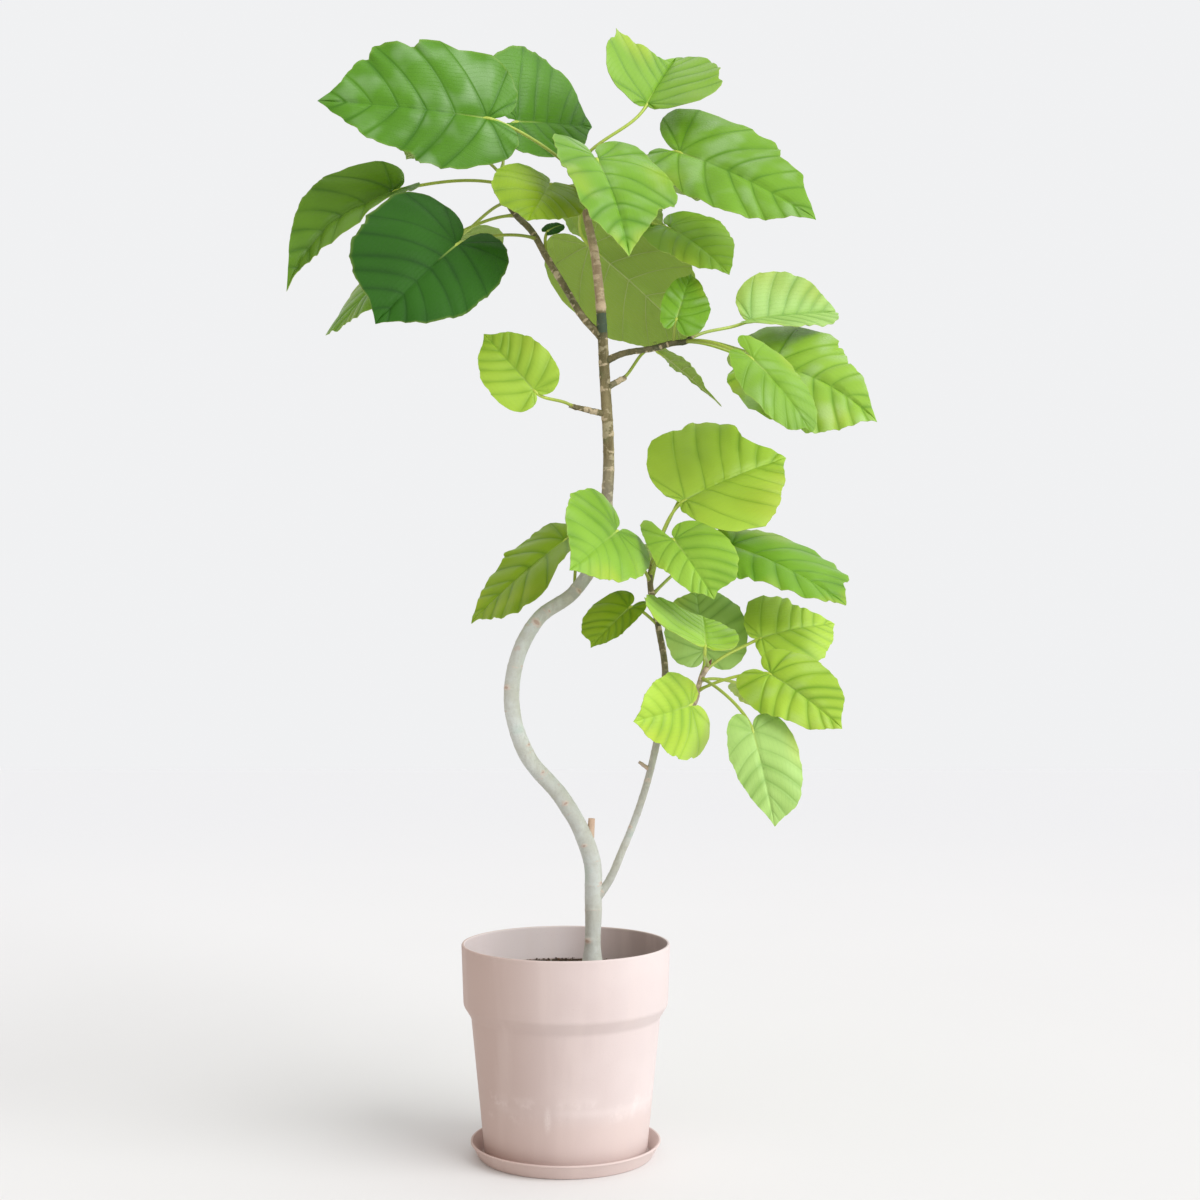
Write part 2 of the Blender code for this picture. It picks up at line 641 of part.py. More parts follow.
STEM_CROWN = {
    "left": Leaf(
        0.402, (0.061, -0.060, 0.744), (0.007, -0.150, 0.695), (0.6, -0.65, 0.4),
        width=0.98, skew=0.15, curl=15,
        plus=((0, 0.05), (0.15, 0.08), (0.3, 0.02), (0.5, 0), (0.62, -0.05), (0.75, -0.07),
              (0.85, -0.03), (1, 0)),
        minus=((0, 0.15), (0.1, 0.32), (0.2, 0.36), (0.3, 0.36), (0.4, 0.22), (0.5, 0.08), (0.65, 0)),
    ),
    "upright": Leaf(
        0.416, (0.144, 0.012, 0.786), (0.276, 0.110, 0.845), (-0.2, -0.9, 0.35),
        width=0.88, skew=-0.13, arch=18, curl=15, lobes=0.7,
        plus=((0, -0.6), (0.1, -0.6), (0.2, -0.5), (0.25, -0.4), (0.3, -0.2), (0.37, 0.05), (0.45, 0.2),
              (0.5, 0.18), (0.55, 0.1), (0.6, 0.03), (0.68, -0.03), (0.8, -0.03), (1, 0)),
        minus=((0, -0.6), (0.08, -0.65), (0.15, -0.45), (0.22, -0.33), (0.3, -0.14), (0.34, -0.02),
               (0.38, 0.14), (0.5, 0.11), (0.55, 0.2), (0.59, 0.15), (0.63, 0.18), (0.7, 0.12),
               (0.75, -0.04), (0.82, 0), (0.88, 0.04), (1, 0)),
    ),
    "front": Leaf(
        0.410, (0.128, -0.050, 0.734), (0.172, -0.100, 0.663), (0.0, -0.9, 0.5),
        width=0.93, skew=-0.22,
        plus=((0, 3.0), (0.05, 1.5), (0.1, 0.75), (0.15, 0.35), (0.22, 0.12), (0.3, 0), (0.45, 0),
              (0.55, -0.08), (0.65, -0.06), (0.75, 0)),
        minus=((0, -0.2), (0.2, -0.1), (0.35, 0), (0.5, 0.08), (0.75, 0.1), (0.9, 0)),
    ),
    "right": Leaf(
        0.385, (0.203, 0.050, 0.733), (0.336, 0.000, 0.658), (0.05, -0.5, 0.87),
        width=0.82, lobes=0.7,
        plus=((0, 0), (0.3, -0.2), (0.38, -0.13), (0.45, -0.11), (0.6, -0.13), (0.68, -0.13), (0.75, -0.05),
              (0.82, 0.02), (1, 0)),
        minus=((0, 0), (0.3, -0.02), (0.45, 0.05), (0.52, 0.16), (0.6, 0.2), (0.7, 0.18), (0.78, 0.06),
               (0.84, 0.06), (0.9, 0.05), (1, 0)),
    ),
    "back": Leaf(
        0.395, (0.125, 0.085, 0.735), (0.185, 0.180, 0.700), (0.1, 0.5, 0.8), width=0.85,
    ),
    "high_back": Leaf(
        0.420, (0.160, 0.100, 0.826), (0.200, 0.200, 0.822), (0.1, 0.3, 0.9), width=0.85,
    ),
}
SIDE_CROWN = {
    "front": Leaf(
        0.106, (0.163, -0.090, 0.612), (0.164, -0.005, 0.645), (0.30, -0.42, 0.82),
        width=1.25, skew=-0.30, arch=8, curl=-8, fold=8, lobes=0.6,
        plus=((0, -0.3), (0.15, -0.3), (0.3, -0.15), (0.4, -0.05), (0.5, 0)),
        minus=((0.15, 0), (0.3, 0.12), (0.6, 0.12), (0.75, 0.05), (0.9, 0)),
    ),
    "upright": Leaf(
        0.080, (0.170, 0.065, 0.603), (0.163, 0.135, 0.681), (0.0, -0.9, 0.4),
        width=0.95, skew=0.05, curl=15,
        plus=((0, -0.1), (0.15, 0.03), (0.3, 0.1), (0.45, 0.08), (0.75, 0.05), (1, 0)),
        minus=((0, -0.25), (0.12, -0.2), (0.2, -0.12), (0.3, -0.02), (1, 0)),
    ),
    "top_right": Leaf(
        0.098, (0.239, 0.050, 0.619), (0.336, 0.100, 0.636), (-0.1, -0.85, 0.5),
        width=0.90, skew=-0.05, lobes=0.8,
        plus=((0, -0.5), (0.1, -0.55), (0.18, -0.45), (0.24, -0.25), (0.3, -0.05), (0.4, 0), (0.5, 0.15),
              (0.57, 0.13), (0.63, 0.05), (0.75, 0.02), (1, 0)),
        minus=((0, -0.4), (0.15, -0.45), (0.2, -0.38), (0.27, -0.28), (0.33, -0.1), (0.38, 0.18),
               (0.45, 0.19), (0.52, 0.12), (0.6, 0.04), (0.66, -0.11), (0.72, -0.15), (0.78, -0.1),
               (0.85, -0.03), (1, 0)),
    ),
    "right": Leaf(
        0.074, (0.244, -0.020, 0.576), (0.321, -0.080, 0.514), (0.0, -0.8, 0.5), width=0.88,
        plus=((0.38, 0), (0.45, -0.03), (0.55, -0.08), (0.6, -0.12), (0.66, -0.1), (0.72, -0.03),
              (0.8, 0.02), (0.88, 0.03), (1, 0)),
    ),
    "hanging": Leaf(
        0.090, (0.220, -0.060, 0.510), (0.241, -0.100, 0.403), (0.0, -0.9, 0.4),
        width=0.73, skew=-0.08,
        plus=((0, -0.1), (0.15, -0.15), (0.3, -0.12), (0.45, -0.12), (0.52, -0.14), (0.67, -0.15),
              (0.75, -0.12), (0.85, -0.05), (1, 0)),
        minus=((0, -0.4), (0.1, -0.38), (0.18, -0.3), (0.25, -0.12), (0.32, 0), (0.45, 0.03), (0.6, 0.05),
               (0.67, 0.09), (0.75, 0.07), (0.88, 0.04), (1, 0)),
    ),
    "left": Leaf(
        0.070, (0.147, -0.050, 0.540), (0.079, -0.115, 0.524), (0.6, -0.75, 0.05),
        width=1.0, skew=-0.08, lobes=1.25,
        plus=((0, -0.3), (0.15, -0.32), (0.25, -0.3), (0.34, -0.15), (0.4, -0.03), (0.45, 0)),
        minus=((0, 0.15), (0.08, 0.32), (0.15, 0.4), (0.3, 0.42), (0.36, 0.31), (0.42, 0.2), (0.5, 0.06),
               (0.6, -0.03), (0.7, -0.08), (0.8, 0), (1, 0)),
    ),
    "back": Leaf(
        0.086, (0.238, 0.085, 0.560), (0.280, 0.170, 0.515), (0.1, 0.4, 0.9), width=0.80,
    ),
}
LONE_LEAVES = {
    "leaf_upper_right": (
        "trunk_middle",
        Leaf(
            0.782, (0.113, 0.035, 0.970), (0.1895, 0.030, 0.900), (0.6, 0.1, 0.8),
            width=0.72, arch=6, curl=6, fold=3, twist=35, lobes=0.4, rise=0.0,
            plus=((0, -0.3), (0.3, -0.35), (0.6, -0.3), (0.9, -0.25), (1, 0)),
            minus=((0, -0.4), (0.3, -0.45), (0.45, -0.55), (0.75, -0.5), (0.9, -0.3), (1, 0)),
        ),
    ),
    "leaf_upper_left": (
        "trunk_middle",
        Leaf(
            0.747, (-0.038, -0.020, 0.914), (-0.098, -0.010, 0.982), (0.0, -0.95, 0.3),
            width=0.96, arch=12, curl=12, lobes=0.55,
        ),
    ),
    "leaf_bow": (
        "trunk_upper_bow",
        Leaf(
            0.522, (-0.003, 0.055, 0.740), (-0.114, 0.005, 0.636), (-0.2, -0.42, 0.85),
            width=0.82, arch=15, curl=15, lobes=0.4,
            plus=((0, 0), (0.3, -0.1), (0.45, -0.2), (0.52, -0.12), (0.6, -0.26), (0.67, -0.16),
                  (0.75, -0.14), (0.85, -0.06), (0.93, 0), (1, 0)),
            minus=((0, -0.3), (0.3, -0.35), (0.45, -0.4), (0.55, -0.1), (0.62, 0.12), (0.68, 0.15),
                   (0.75, 0.1), (0.85, 0.05), (0.92, 0), (1, 0)),
        ),
    ),
    "leaf_right_stem": (
        "right_stem",
        Leaf(
            0.348, (0.076, -0.010, 0.655), (0.030, -0.035, 0.607), (0.0, -0.9, 0.5),
            width=0.72, skew=0.3,
            plus=((0.3, 0.05), (0.45, 0.12), (0.6, 0.15), (0.75, 0.12), (0.9, 0)),
            minus=((0, 0.1), (0.15, 0.15), (0.3, 0.05), (0.45, 0)),
        ),
    ),
}
# Short scaly twigs that lone leaves stand on
SPURS = {
    "leaf_upper_right": Limb((0.050, 0.000, 0.920, 0.0075), (0.072, 0.002, 0.932, 0.0055)),
    "leaf_upper_left": Limb((0.049, 0.000, 0.887, 0.0075), (0.004, -0.004, 0.897, 0.0050)),
}

# The stretch of its limb that each bark piece is, in metres from the limb's foot
STRETCHES = {
    "trunk_foot": (TRUNK, 0.0, 0.150),
    "trunk_lower_bow": (TRUNK, 0.150, 0.360),
    "trunk_upper_bow": (TRUNK, 0.360, 0.545),
    "trunk_middle": (TRUNK, 0.545, 0.790),
    "trunk_upper": (TRUNK, 0.790, 1.003),
    "right_stem": (RIGHT_STEM, 0.0, 0.374),
    "side_branch": (SIDE_BRANCH, 0.0, 0.062),
    "left_bough": (LEFT_BOUGH, 0.0, 0.118),
    "right_bough": (RIGHT_BOUGH, 0.0, 0.078),
    "pruned_stub": (STUB, 0.0, STUB.length),
    "twig_spur": (TWIG_SPUR, 0.0, TWIG_SPUR.length),
}
CARRIERS = {
    "right_stem": "trunk_foot",
    "side_branch": "right_stem",
    "left_bough": "trunk_upper",
    "right_bough": "trunk_upper",
    "pruned_stub": "trunk_lower_bow",
    "twig_spur": "right_stem",
}
PALE_PIECES = ("trunk_foot", "trunk_lower_bow", "trunk_upper_bow", "right_stem", "pruned_stub")
CROWNS = {
    "crown_top": ("trunk_upper", CROWN_TOP),
    "crown_left": ("left_bough", CROWN_LEFT),
    "crown_right": ("right_bough", CROWN_RIGHT),
    "crown_right_stem": ("right_stem", STEM_CROWN),
    "crown_side_branch": ("side_branch", SIDE_CROWN),
}


def saucer_profile():
    inner_r = SAUCER_FOOT_R - 0.004
    return [
        (0.0, 0.0),
        (SAUCER_FOOT_R - 0.001, 0.0),
        (SAUCER_FOOT_R, 0.001),
        (SAUCER_RIM_R - 0.0015, SAUCER_HEIGHT - 0.003),
        (SAUCER_RIM_R, SAUCER_HEIGHT - 0.0022),
        (SAUCER_RIM_R, SAUCER_HEIGHT),
        (SAUCER_RIM_R - SAUCER_WALL, SAUCER_HEIGHT),
        (inner_r, SAUCER_FLOOR + 0.001),
        (inner_r - 0.001, SAUCER_FLOOR),
        (0.0, SAUCER_FLOOR),
    ]


def pot_outer():
    foot = SAUCER_FLOOR + GAP
    return [
        (0.0, foot),
        (BODY_FOOT_R - 0.002, foot),
        (BODY_FOOT_R, foot + 0.002),
        (BODY_TOP_R, BODY_TOP_Z),
        (COLLAR_FOOT_R, COLLAR_FOOT_Z),
        (POT_RIM_R, POT_TOP_Z - 0.001),
        (POT_RIM_R - 0.001, POT_TOP_Z),
    ]


def pot_inner(shrink=0.0):
    """The inside of the pot from its rim down, drawn in by shrink."""
    wall = POT_WALL + shrink
    floor = SAUCER_FLOOR + GAP + POT_FLOOR + shrink
    return [
        (COLLAR_FOOT_R - wall, COLLAR_FOOT_Z),
        (BODY_TOP_R - wall, BODY_TOP_Z),
        (BODY_FOOT_R - wall, floor),
        (0.0, floor),
    ]


def soil_profile():
    share = (SOIL_Z - COLLAR_FOOT_Z) / (POT_TOP_Z - COLLAR_FOOT_Z)
    top_r = COLLAR_FOOT_R + (POT_RIM_R - COLLAR_FOOT_R) * share - POT_WALL - GAP
    return pot_inner(GAP)[::-1] + [(top_r, SOIL_Z), (0.0, SOIL_Z)]


def main():
    for old in list(bpy.data.objects):
        bpy.data.objects.remove(old)
    plastic = material("pot_plastic", (205, 178, 170), 0.55)
    earth = material("soil", (70, 56, 46), 0.95)
    pale_bark = material("pale_bark", (188, 190, 175), 0.7)
    dark_bark = material("dark_bark", (140, 122, 95), 0.7)
    foliage = material("foliage", (120, 175, 60), 0.4)

    turned("saucer", saucer_profile(), plastic)
    rim = (POT_RIM_R - POT_WALL + 0.001, POT_TOP_Z)
    edge = (POT_RIM_R - POT_WALL, POT_TOP_Z - 0.001)
    turned("pot", pot_outer() + [rim, edge] + pot_inner(), plastic)
    turned("soil", soil_profile(), earth)

    for name, stretch in STRETCHES.items():
        bark = pale_bark if name in PALE_PIECES else dark_bark
        part = stretch_piece(name, stretch, bark)
        if name in CARRIERS:
            seat(part, CARRIERS[name], bark)
    for name, (bough, leaves) in CROWNS.items():
        crown(name, STRETCHES[bough], leaves, foliage)
    for name, (carrier, leaf) in LONE_LEAVES.items():
        lone_leaf(name, carrier, leaf, foliage)


main()
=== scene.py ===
"""Looks of the potted ficus umbellata: fine leaves, bark, buds, soil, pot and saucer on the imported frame."""

import math
from typing import NamedTuple

import bmesh
import bpy
import numpy as np
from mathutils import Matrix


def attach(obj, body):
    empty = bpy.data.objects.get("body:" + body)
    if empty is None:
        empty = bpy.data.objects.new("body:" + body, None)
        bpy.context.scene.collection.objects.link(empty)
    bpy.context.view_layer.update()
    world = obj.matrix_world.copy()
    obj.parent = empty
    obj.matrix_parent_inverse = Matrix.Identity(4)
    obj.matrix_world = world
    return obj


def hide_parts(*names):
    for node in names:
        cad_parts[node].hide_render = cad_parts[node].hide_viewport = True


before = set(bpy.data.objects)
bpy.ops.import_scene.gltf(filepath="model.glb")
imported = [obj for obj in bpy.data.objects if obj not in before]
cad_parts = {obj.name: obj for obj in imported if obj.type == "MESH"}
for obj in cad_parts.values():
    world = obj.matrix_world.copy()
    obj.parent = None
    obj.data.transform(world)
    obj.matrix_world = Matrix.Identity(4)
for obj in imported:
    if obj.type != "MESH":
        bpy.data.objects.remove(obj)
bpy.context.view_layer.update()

GAP = 0.0003
SOIL_Z = 0.2125
STALK_D = 0.0040
BLADE_THICKNESS = 0.0024
SPUR_OVERLAP = 0.004

# Blade: the margin of one half, in degrees off the midrib and reach as a share of the length
MARGIN = (
    (0, 1.00),
    (3, 0.95),
    (7, 0.905),
    (12, 0.88),
    (22, 0.83),
    (35, 0.745),
    (45, 0.68),
    (62, 0.575),
    (90, 0.465),
    (120, 0.41),
    (140, 0.35),
    (156, 0.265),
    (168, 0.16),
    (180, 0.02),
)
FAN_SHARE = 0.45
FAN_END = 62.0
VEIN_BOW = 0.04
# Rows of a half that carry a side vein
VEIN_ROWS = (0.12, 0.27, 0.45, 0.555, 0.65, 0.74, 0.825, 0.91)
SKIN = 0.0007  # thickness of the fine blade
RUN_MARK = (-0.019, -0.104, 0.067)  # middle of a long pale mark on the pot
PLAIN_QUILT = 0.75  # how far an ordinary blade bulges between its veins

# Base colours of the leaves, by sRGB. They are partly the leaves' own greens and partly painted light: the darker
# tints are given to leaves in shade, and the paler ones, glow above all, to lit and backlit leaves.
TINTS = {
    "deep": (36, 86, 1),
    "shade": (94, 134, 30),
    "forest": (82, 132, 30),
    "green": (114, 160, 44),
    "olive": (130, 160, 30),
    "fresh": (126, 168, 52),
    "lime": (142, 182, 62),
    "glow": (164, 196, 66),
    "pale": (166, 200, 112),
}


class Leaf(NamedTuple):
    """A leaf's stalk leaves its limb at a distance along it, and meets the blade at the umbo."""

    at: float
    umbo: tuple
    tip: tuple
    face: tuple
    tint: str = "green"
    width: float = 0.88
    skew: float = 0.0
    arch: float = 25.0
    curl: float = 25.0
    fold: float = 8.0
    twist: float = 0.0
    wave: float = 0.012
    phase: float = 0.0
    lobes: float = 1.0
    sinus: float = 9.0
    rise: float = 0.3
    sway: float = 0.0
    plus: tuple = ((0, 0),)
    minus: tuple = ((0, 0),)
    ragged: float = 1.0
    quilt: float = PLAIN_QUILT
    # share of painted whitish highlight on the blade, which also lowers its roughness there
    gloss_and_painted_gleam: float = 0.0


def smooth_between(knots, values, where):
    """Cubic curve through values at knots, read at where."""
    knots = np.asarray(knots, float)
    values = np.asarray(values, float)
    slopes = np.gradient(values, knots, axis=0)
    where = np.clip(where, knots[0], knots[-1])
    low = np.clip(np.searchsorted(knots, where, side="right") - 1, 0, len(knots) - 2)
    span = knots[low + 1] - knots[low]
    t = (where - knots[low]) / span
    if values.ndim > 1:
        t = t[..., None]
        span = span[..., None]
    return (
        values[low] * (1 + 2 * t) * (1 - t) ** 2
        + slopes[low] * span * t * (1 - t) ** 2
        + values[low + 1] * t * t * (3 - 2 * t)
        - slopes[low + 1] * span * t * t * (1 - t)
    )


class Limb:
    """A tapering round limb on a smooth line through waypoints (x, y, z, diameter)."""

    def __init__(self, *waypoints):
        rows = np.array(waypoints, float)
        chords = np.linalg.norm(np.diff(rows[:, :3], axis=0), axis=1)
        knots = np.concatenate([[0.0], np.cumsum(chords)])
        fine = np.linspace(0.0, knots[-1], int(knots[-1] / 0.002) + 2)
        self.rows = smooth_between(knots, rows, fine)
        steps = np.linalg.norm(np.diff(self.rows[:, :3], axis=0), axis=1)
        self.distances = np.concatenate([[0.0], np.cumsum(steps)])
        self.length = float(self.distances[-1])

    def read(self, distance):
        """Places and diameters at distances from the limb's foot."""
        found = [np.interp(distance, self.distances, self.rows[:, k]) for k in range(4)]
        return np.stack(found[:3], axis=-1), found[3]

    def heading(self, distance):
        """The way the limb runs at distances from its foot."""
        ahead, _ = self.read(np.minimum(distance + 0.002, self.length))
        behind, _ = self.read(np.maximum(distance - 0.002, 0.0))
        steps = ahead - behind
        return steps / np.linalg.norm(steps, axis=-1)[..., None]


def unit(vector):
    vector = np.asarray(vector, float)
    return vector / np.linalg.norm(vector)


TRUNK = Limb(
    (0.032, 0.000, SOIL_Z + GAP, 0.0310),
    (0.032, 0.000, 0.234, 0.0225),
    (0.033, 0.000, 0.300, 0.0205),
    (0.031, 0.000, 0.352, 0.0210),
    (0.017, -0.004, 0.391, 0.0200),
    (-0.004, -0.010, 0.427, 0.0195),
    (-0.046, -0.021, 0.480, 0.0190),
    (-0.063, -0.026, 0.534, 0.0185),
    (-0.059, -0.026, 0.588, 0.0180),
    (-0.032, -0.018, 0.642, 0.0170),
    (0.009, -0.004, 0.673, 0.0160),
    (0.041, 0.006, 0.725, 0.0150),
    (0.050, 0.004, 0.794, 0.0140),
    (0.046, 0.000, 0.945, 0.0125),
    (0.041, 0.000, 1.026, 0.0115),
    (0.034, 0.000, 1.083, 0.0105),
    (0.026, 0.002, 1.121, 0.0095),
    (0.017, 0.004, 1.163, 0.0080),
    (0.012, 0.004, 1.192, 0.0050),
)
RIGHT_STEM = Limb(
    (0.034, 0.000, 0.304, 0.0110),
    (0.046, 0.000, 0.318, 0.0100),
    (0.067, -0.004, 0.362, 0.0090),
    (0.098, -0.012, 0.449, 0.0085),
    (0.115, -0.010, 0.533, 0.0085),
    (0.119, -0.006, 0.579, 0.0080),
    (0.111, -0.002, 0.632, 0.0075),
    (0.101, 0.000, 0.691, 0.0065),
    (0.102, 0.000, 0.708, 0.0045),
)
SIDE_BRANCH = Limb(
    (0.111, -0.011, 0.503, 0.0070),
    (0.127, -0.008, 0.518, 0.0065),
    (0.155, 0.000, 0.542, 0.0065),
    (0.161, 0.003, 0.566, 0.0060),
    (0.170, 0.003, 0.584, 0.0060),
    (0.176, 0.003, 0.594, 0.0035),
)
LEFT_BOUGH = Limb(
    (0.043, 0.000, 0.980, 0.0090),
    (0.021, 0.006, 1.004, 0.0085),
    (0.005, 0.012, 1.031, 0.0080),
    (-0.007, 0.016, 1.052, 0.0080),
    (-0.022, 0.022, 1.077, 0.0080),
    (-0.044, 0.030, 1.116, 0.0080),
    (-0.063, 0.034, 1.136, 0.0075),
    (-0.078, 0.040, 1.166, 0.0065),
    (-0.079, 0.045, 1.202, 0.0045),
)
RIGHT_BOUGH = Limb(
    (0.046, 0.000, 0.950, 0.0080),
    (0.064, -0.004, 0.958, 0.0075),
    (0.107, -0.012, 0.965, 0.0070),
    (0.127, -0.015, 0.970, 0.0070),
    (0.146, -0.018, 0.973, 0.0065),
    (0.152, -0.018, 0.980, 0.0050),
    (0.161, -0.018, 0.997, 0.0020),
)
TWIG_SPUR = Limb(
    (0.101, -0.012, 0.461, 0.0050),
    (0.0875, -0.016, 0.471, 0.0035),
)
STUB = Limb(
    (0.029, 0.000, 0.368, 0.0088),
    (0.031, 0.000, 0.402, 0.0080),
)
SPURS = {
    "leaf_upper_right": Limb((0.050, 0.000, 0.920, 0.0075), (0.072, 0.002, 0.932, 0.0055)),
    "leaf_upper_left": Limb((0.049, 0.000, 0.887, 0.0075), (0.004, -0.004, 0.897, 0.0050)),
}

CROWN_TOP = {
    "far_left": Leaf(
        1.035, (-0.093, -0.020, 1.238), (-0.289, -0.060, 1.246), (0.0, -1.0, 0.15), "forest",
        ragged=1.8, gloss_and_painted_gleam=0.45,
        width=0.82, skew=0.10, arch=15, curl=15, fold=5, lobes=0.75, sinus=5,
        plus=((0, -0.2), (0.15, -0.14), (0.24, -0.08), (0.34, 0), (0.43, -0.11), (0.50, 0.04),
              (0.565, -0.08), (0.65, 0.05), (0.71, -0.03), (0.8, -0.02), (1, 0)),
        minus=((0, -0.1), (0.15, -0.08), (0.3, -0.12), (0.45, -0.05), (0.52, -0.06), (0.6, -0.2),
               (0.66, -0.1), (0.75, -0.08), (0.9, 0)),
    ),
    "front": Leaf(
        1.022, (0.0384, -0.040, 1.1834), (0.0739, -0.140, 1.0471), (0.35, -0.8, 0.55), "green",
        gloss_and_painted_gleam=0.35,
        width=0.92, skew=-0.08, curl=20, fold=13, lobes=1.15,
        plus=((0.15, -0.05), (0.3, -0.18), (0.45, -0.24), (0.6, -0.2), (0.75, -0.05), (0.85, 0)),
        minus=((0, 0), (0.15, -0.03), (0.3, -0.09), (0.4, -0.09), (0.5, -0.04), (0.55, -0.04),
               (0.62, -0.12), (0.7, -0.19), (0.78, -0.14), (0.9, -0.05), (1, 0)),
    ),
    "saddle": Leaf(
        1.042, (0.099, 0.030, 1.270), (0.138, 0.130, 1.357), (0.32, -0.53, 0.85), "fresh",
        width=1.08, skew=0.07, arch=12, curl=0, fold=27, lobes=0.6, rise=0.9,
        plus=((0, -0.5), (0.15, -0.4), (0.25, -0.2), (0.35, 0), (0.45, 0.06), (0.52, -0.03),
              (0.6, 0), (0.75, 0.05), (0.82, 0.08), (0.9, 0.05), (1, 0)),
        minus=((0, -0.2), (0.25, -0.03), (0.35, 0.12), (0.42, 0.18), (0.47, 0.13), (0.53, 0.20),
               (0.57, 0.08), (0.62, -0.05), (0.7, -0.14), (0.8, -0.18), (0.9, -0.15), (1, 0)),
    ),
    "right": Leaf(
        1.028, (0.1366, 0.0, 1.203), (0.2919, -0.070, 1.105), (-0.2, -0.75, 0.62), "green",
        gloss_and_painted_gleam=0.5,
        width=0.74, skew=-0.15, arch=22, curl=18, fold=4,
        plus=((0, -0.3), (0.15, -0.35), (0.3, -0.35), (0.4, -0.2), (0.45, -0.1), (0.55, 0)),
        minus=((0, -0.5), (0.05, -0.35), (0.1, 0.0), (0.15, 0.3), (0.2, 0.42), (0.3, 0.26), (0.38, 0),
               (0.45, -0.06), (0.5, -0.08), (0.55, -0.05), (0.6, -0.1), (0.67, -0.17), (0.75, -0.06),
               (0.82, -0.05), (0.9, 0)),
    ),
    "right_back": Leaf(
        1.010, (0.126, 0.045, 1.122), (0.195, -0.020, 1.051), (0.2, -0.8, 0.4), "lime",
        quilt=0.4,
        width=0.95, skew=-0.25,
        minus=((0, 0), (0.3, -0.05), (0.42, -0.17), (0.6, -0.2), (0.75, -0.12), (0.9, 0)),
    ),
    "left_low": Leaf(
        1.016, (-0.018, -0.024, 1.158), (-0.041, -0.100, 1.097), (0.36, -0.6, 0.7), "olive",
        quilt=0.4,
        width=1.02, curl=12,
        plus=((0.2, 0), (0.35, 0.1), (0.45, 0.17), (0.6, 0.25), (0.75, 0.22), (0.88, 0.1), (1, 0)),
    ),
    "underside": Leaf(
        1.010, (0.028, 0.090, 1.110), (0.161, 0.120, 0.991), (0.0, 0.85, 0.5), "fresh", curl=15,
        minus=((0, -0.1), (0.22, -0.14), (0.35, 0)),
    ),
    "back": Leaf(
        1.030, (0.045, 0.100, 1.175), (0.080, 0.235, 1.120), (0.1, 0.5, 0.9), "green",
    ),
    "back_right": Leaf(
        1.033, (0.165, 0.105, 1.196), (0.240, 0.205, 1.187), (0.2, 0.4, 0.9), "green", width=0.82,
    ),
}
CROWN_LEFT = {
    "top_back": Leaf(
        0.250, (-0.060, 0.060, 1.256), (0.031, 0.140, 1.271), (0.4, -0.9, 0.15), "forest",
        width=1.15, skew=-0.33, arch=12, curl=12,
        minus=((0, -0.15), (0.1, -0.1), (0.2, 0.08), (0.35, 0.1), (0.45, 0.05), (0.6, -0.03), (0.75, 0)),
    ),
    "far_left": Leaf(
        0.235, (-0.2115, 0.035, 1.1642), (-0.333, -0.015, 1.0318), (-0.18, -0.83, 0.52), "shade",
        width=0.66, arch=25, curl=15, fold=30, sway=0.11, lobes=0.8,
        plus=((0, -0.55), (0.1, -0.5), (0.2, -0.3), (0.3, -0.13), (0.45, -0.11), (0.6, -0.17),
              (0.75, -0.16), (0.9, -0.05), (1, 0)),
        minus=((0, -0.5), (0.2, -0.4), (0.45, -0.35), (0.6, -0.12), (0.75, -0.08), (0.9, -0.1), (1, 0)),
    ),
    "front": Leaf(
        0.150, (-0.126, -0.060, 1.079), (-0.210, -0.150, 0.970), (0.2, -0.9, 0.35), "deep",
        width=1.02, skew=0.14, curl=18, sinus=5,
        plus=((0, 0), (0.1, 0.13), (0.2, 0.20), (0.3, 0.17), (0.4, 0.04), (0.5, -0.02), (0.65, 0.02),
              (0.8, 0), (1, 0)),
        minus=((0, 1.3), (0.04, 0.9), (0.08, 0.35), (0.15, 0.12), (0.25, 0.02), (0.4, 0)),
    ),
    "low_back": Leaf(
        0.190, (-0.177, 0.050, 1.100), (-0.283, 0.080, 1.003), (-0.7, -0.5, 0.5), "green",
        width=0.75,
        plus=((0.45, 0), (0.6, 0.3), (0.75, 0.5), (0.87, 0.2), (1, 0)),
    ),
    "small": Leaf(
        0.126, (-0.021, 0.030, 1.115), (-0.003, 0.050, 1.126), (0.0, -0.8, 0.5), "deep", width=0.7,
        quilt=0.35,
    ),
    "back": Leaf(
        0.210, (-0.140, 0.130, 1.130), (-0.205, 0.250, 1.060), (-0.2, 0.5, 0.8), "forest",
    ),
    "back_high": Leaf(
        0.245, (-0.135, 0.115, 1.245), (-0.215, 0.215, 1.250), (-0.2, 0.5, 0.9), "forest", width=0.85,
    ),
}
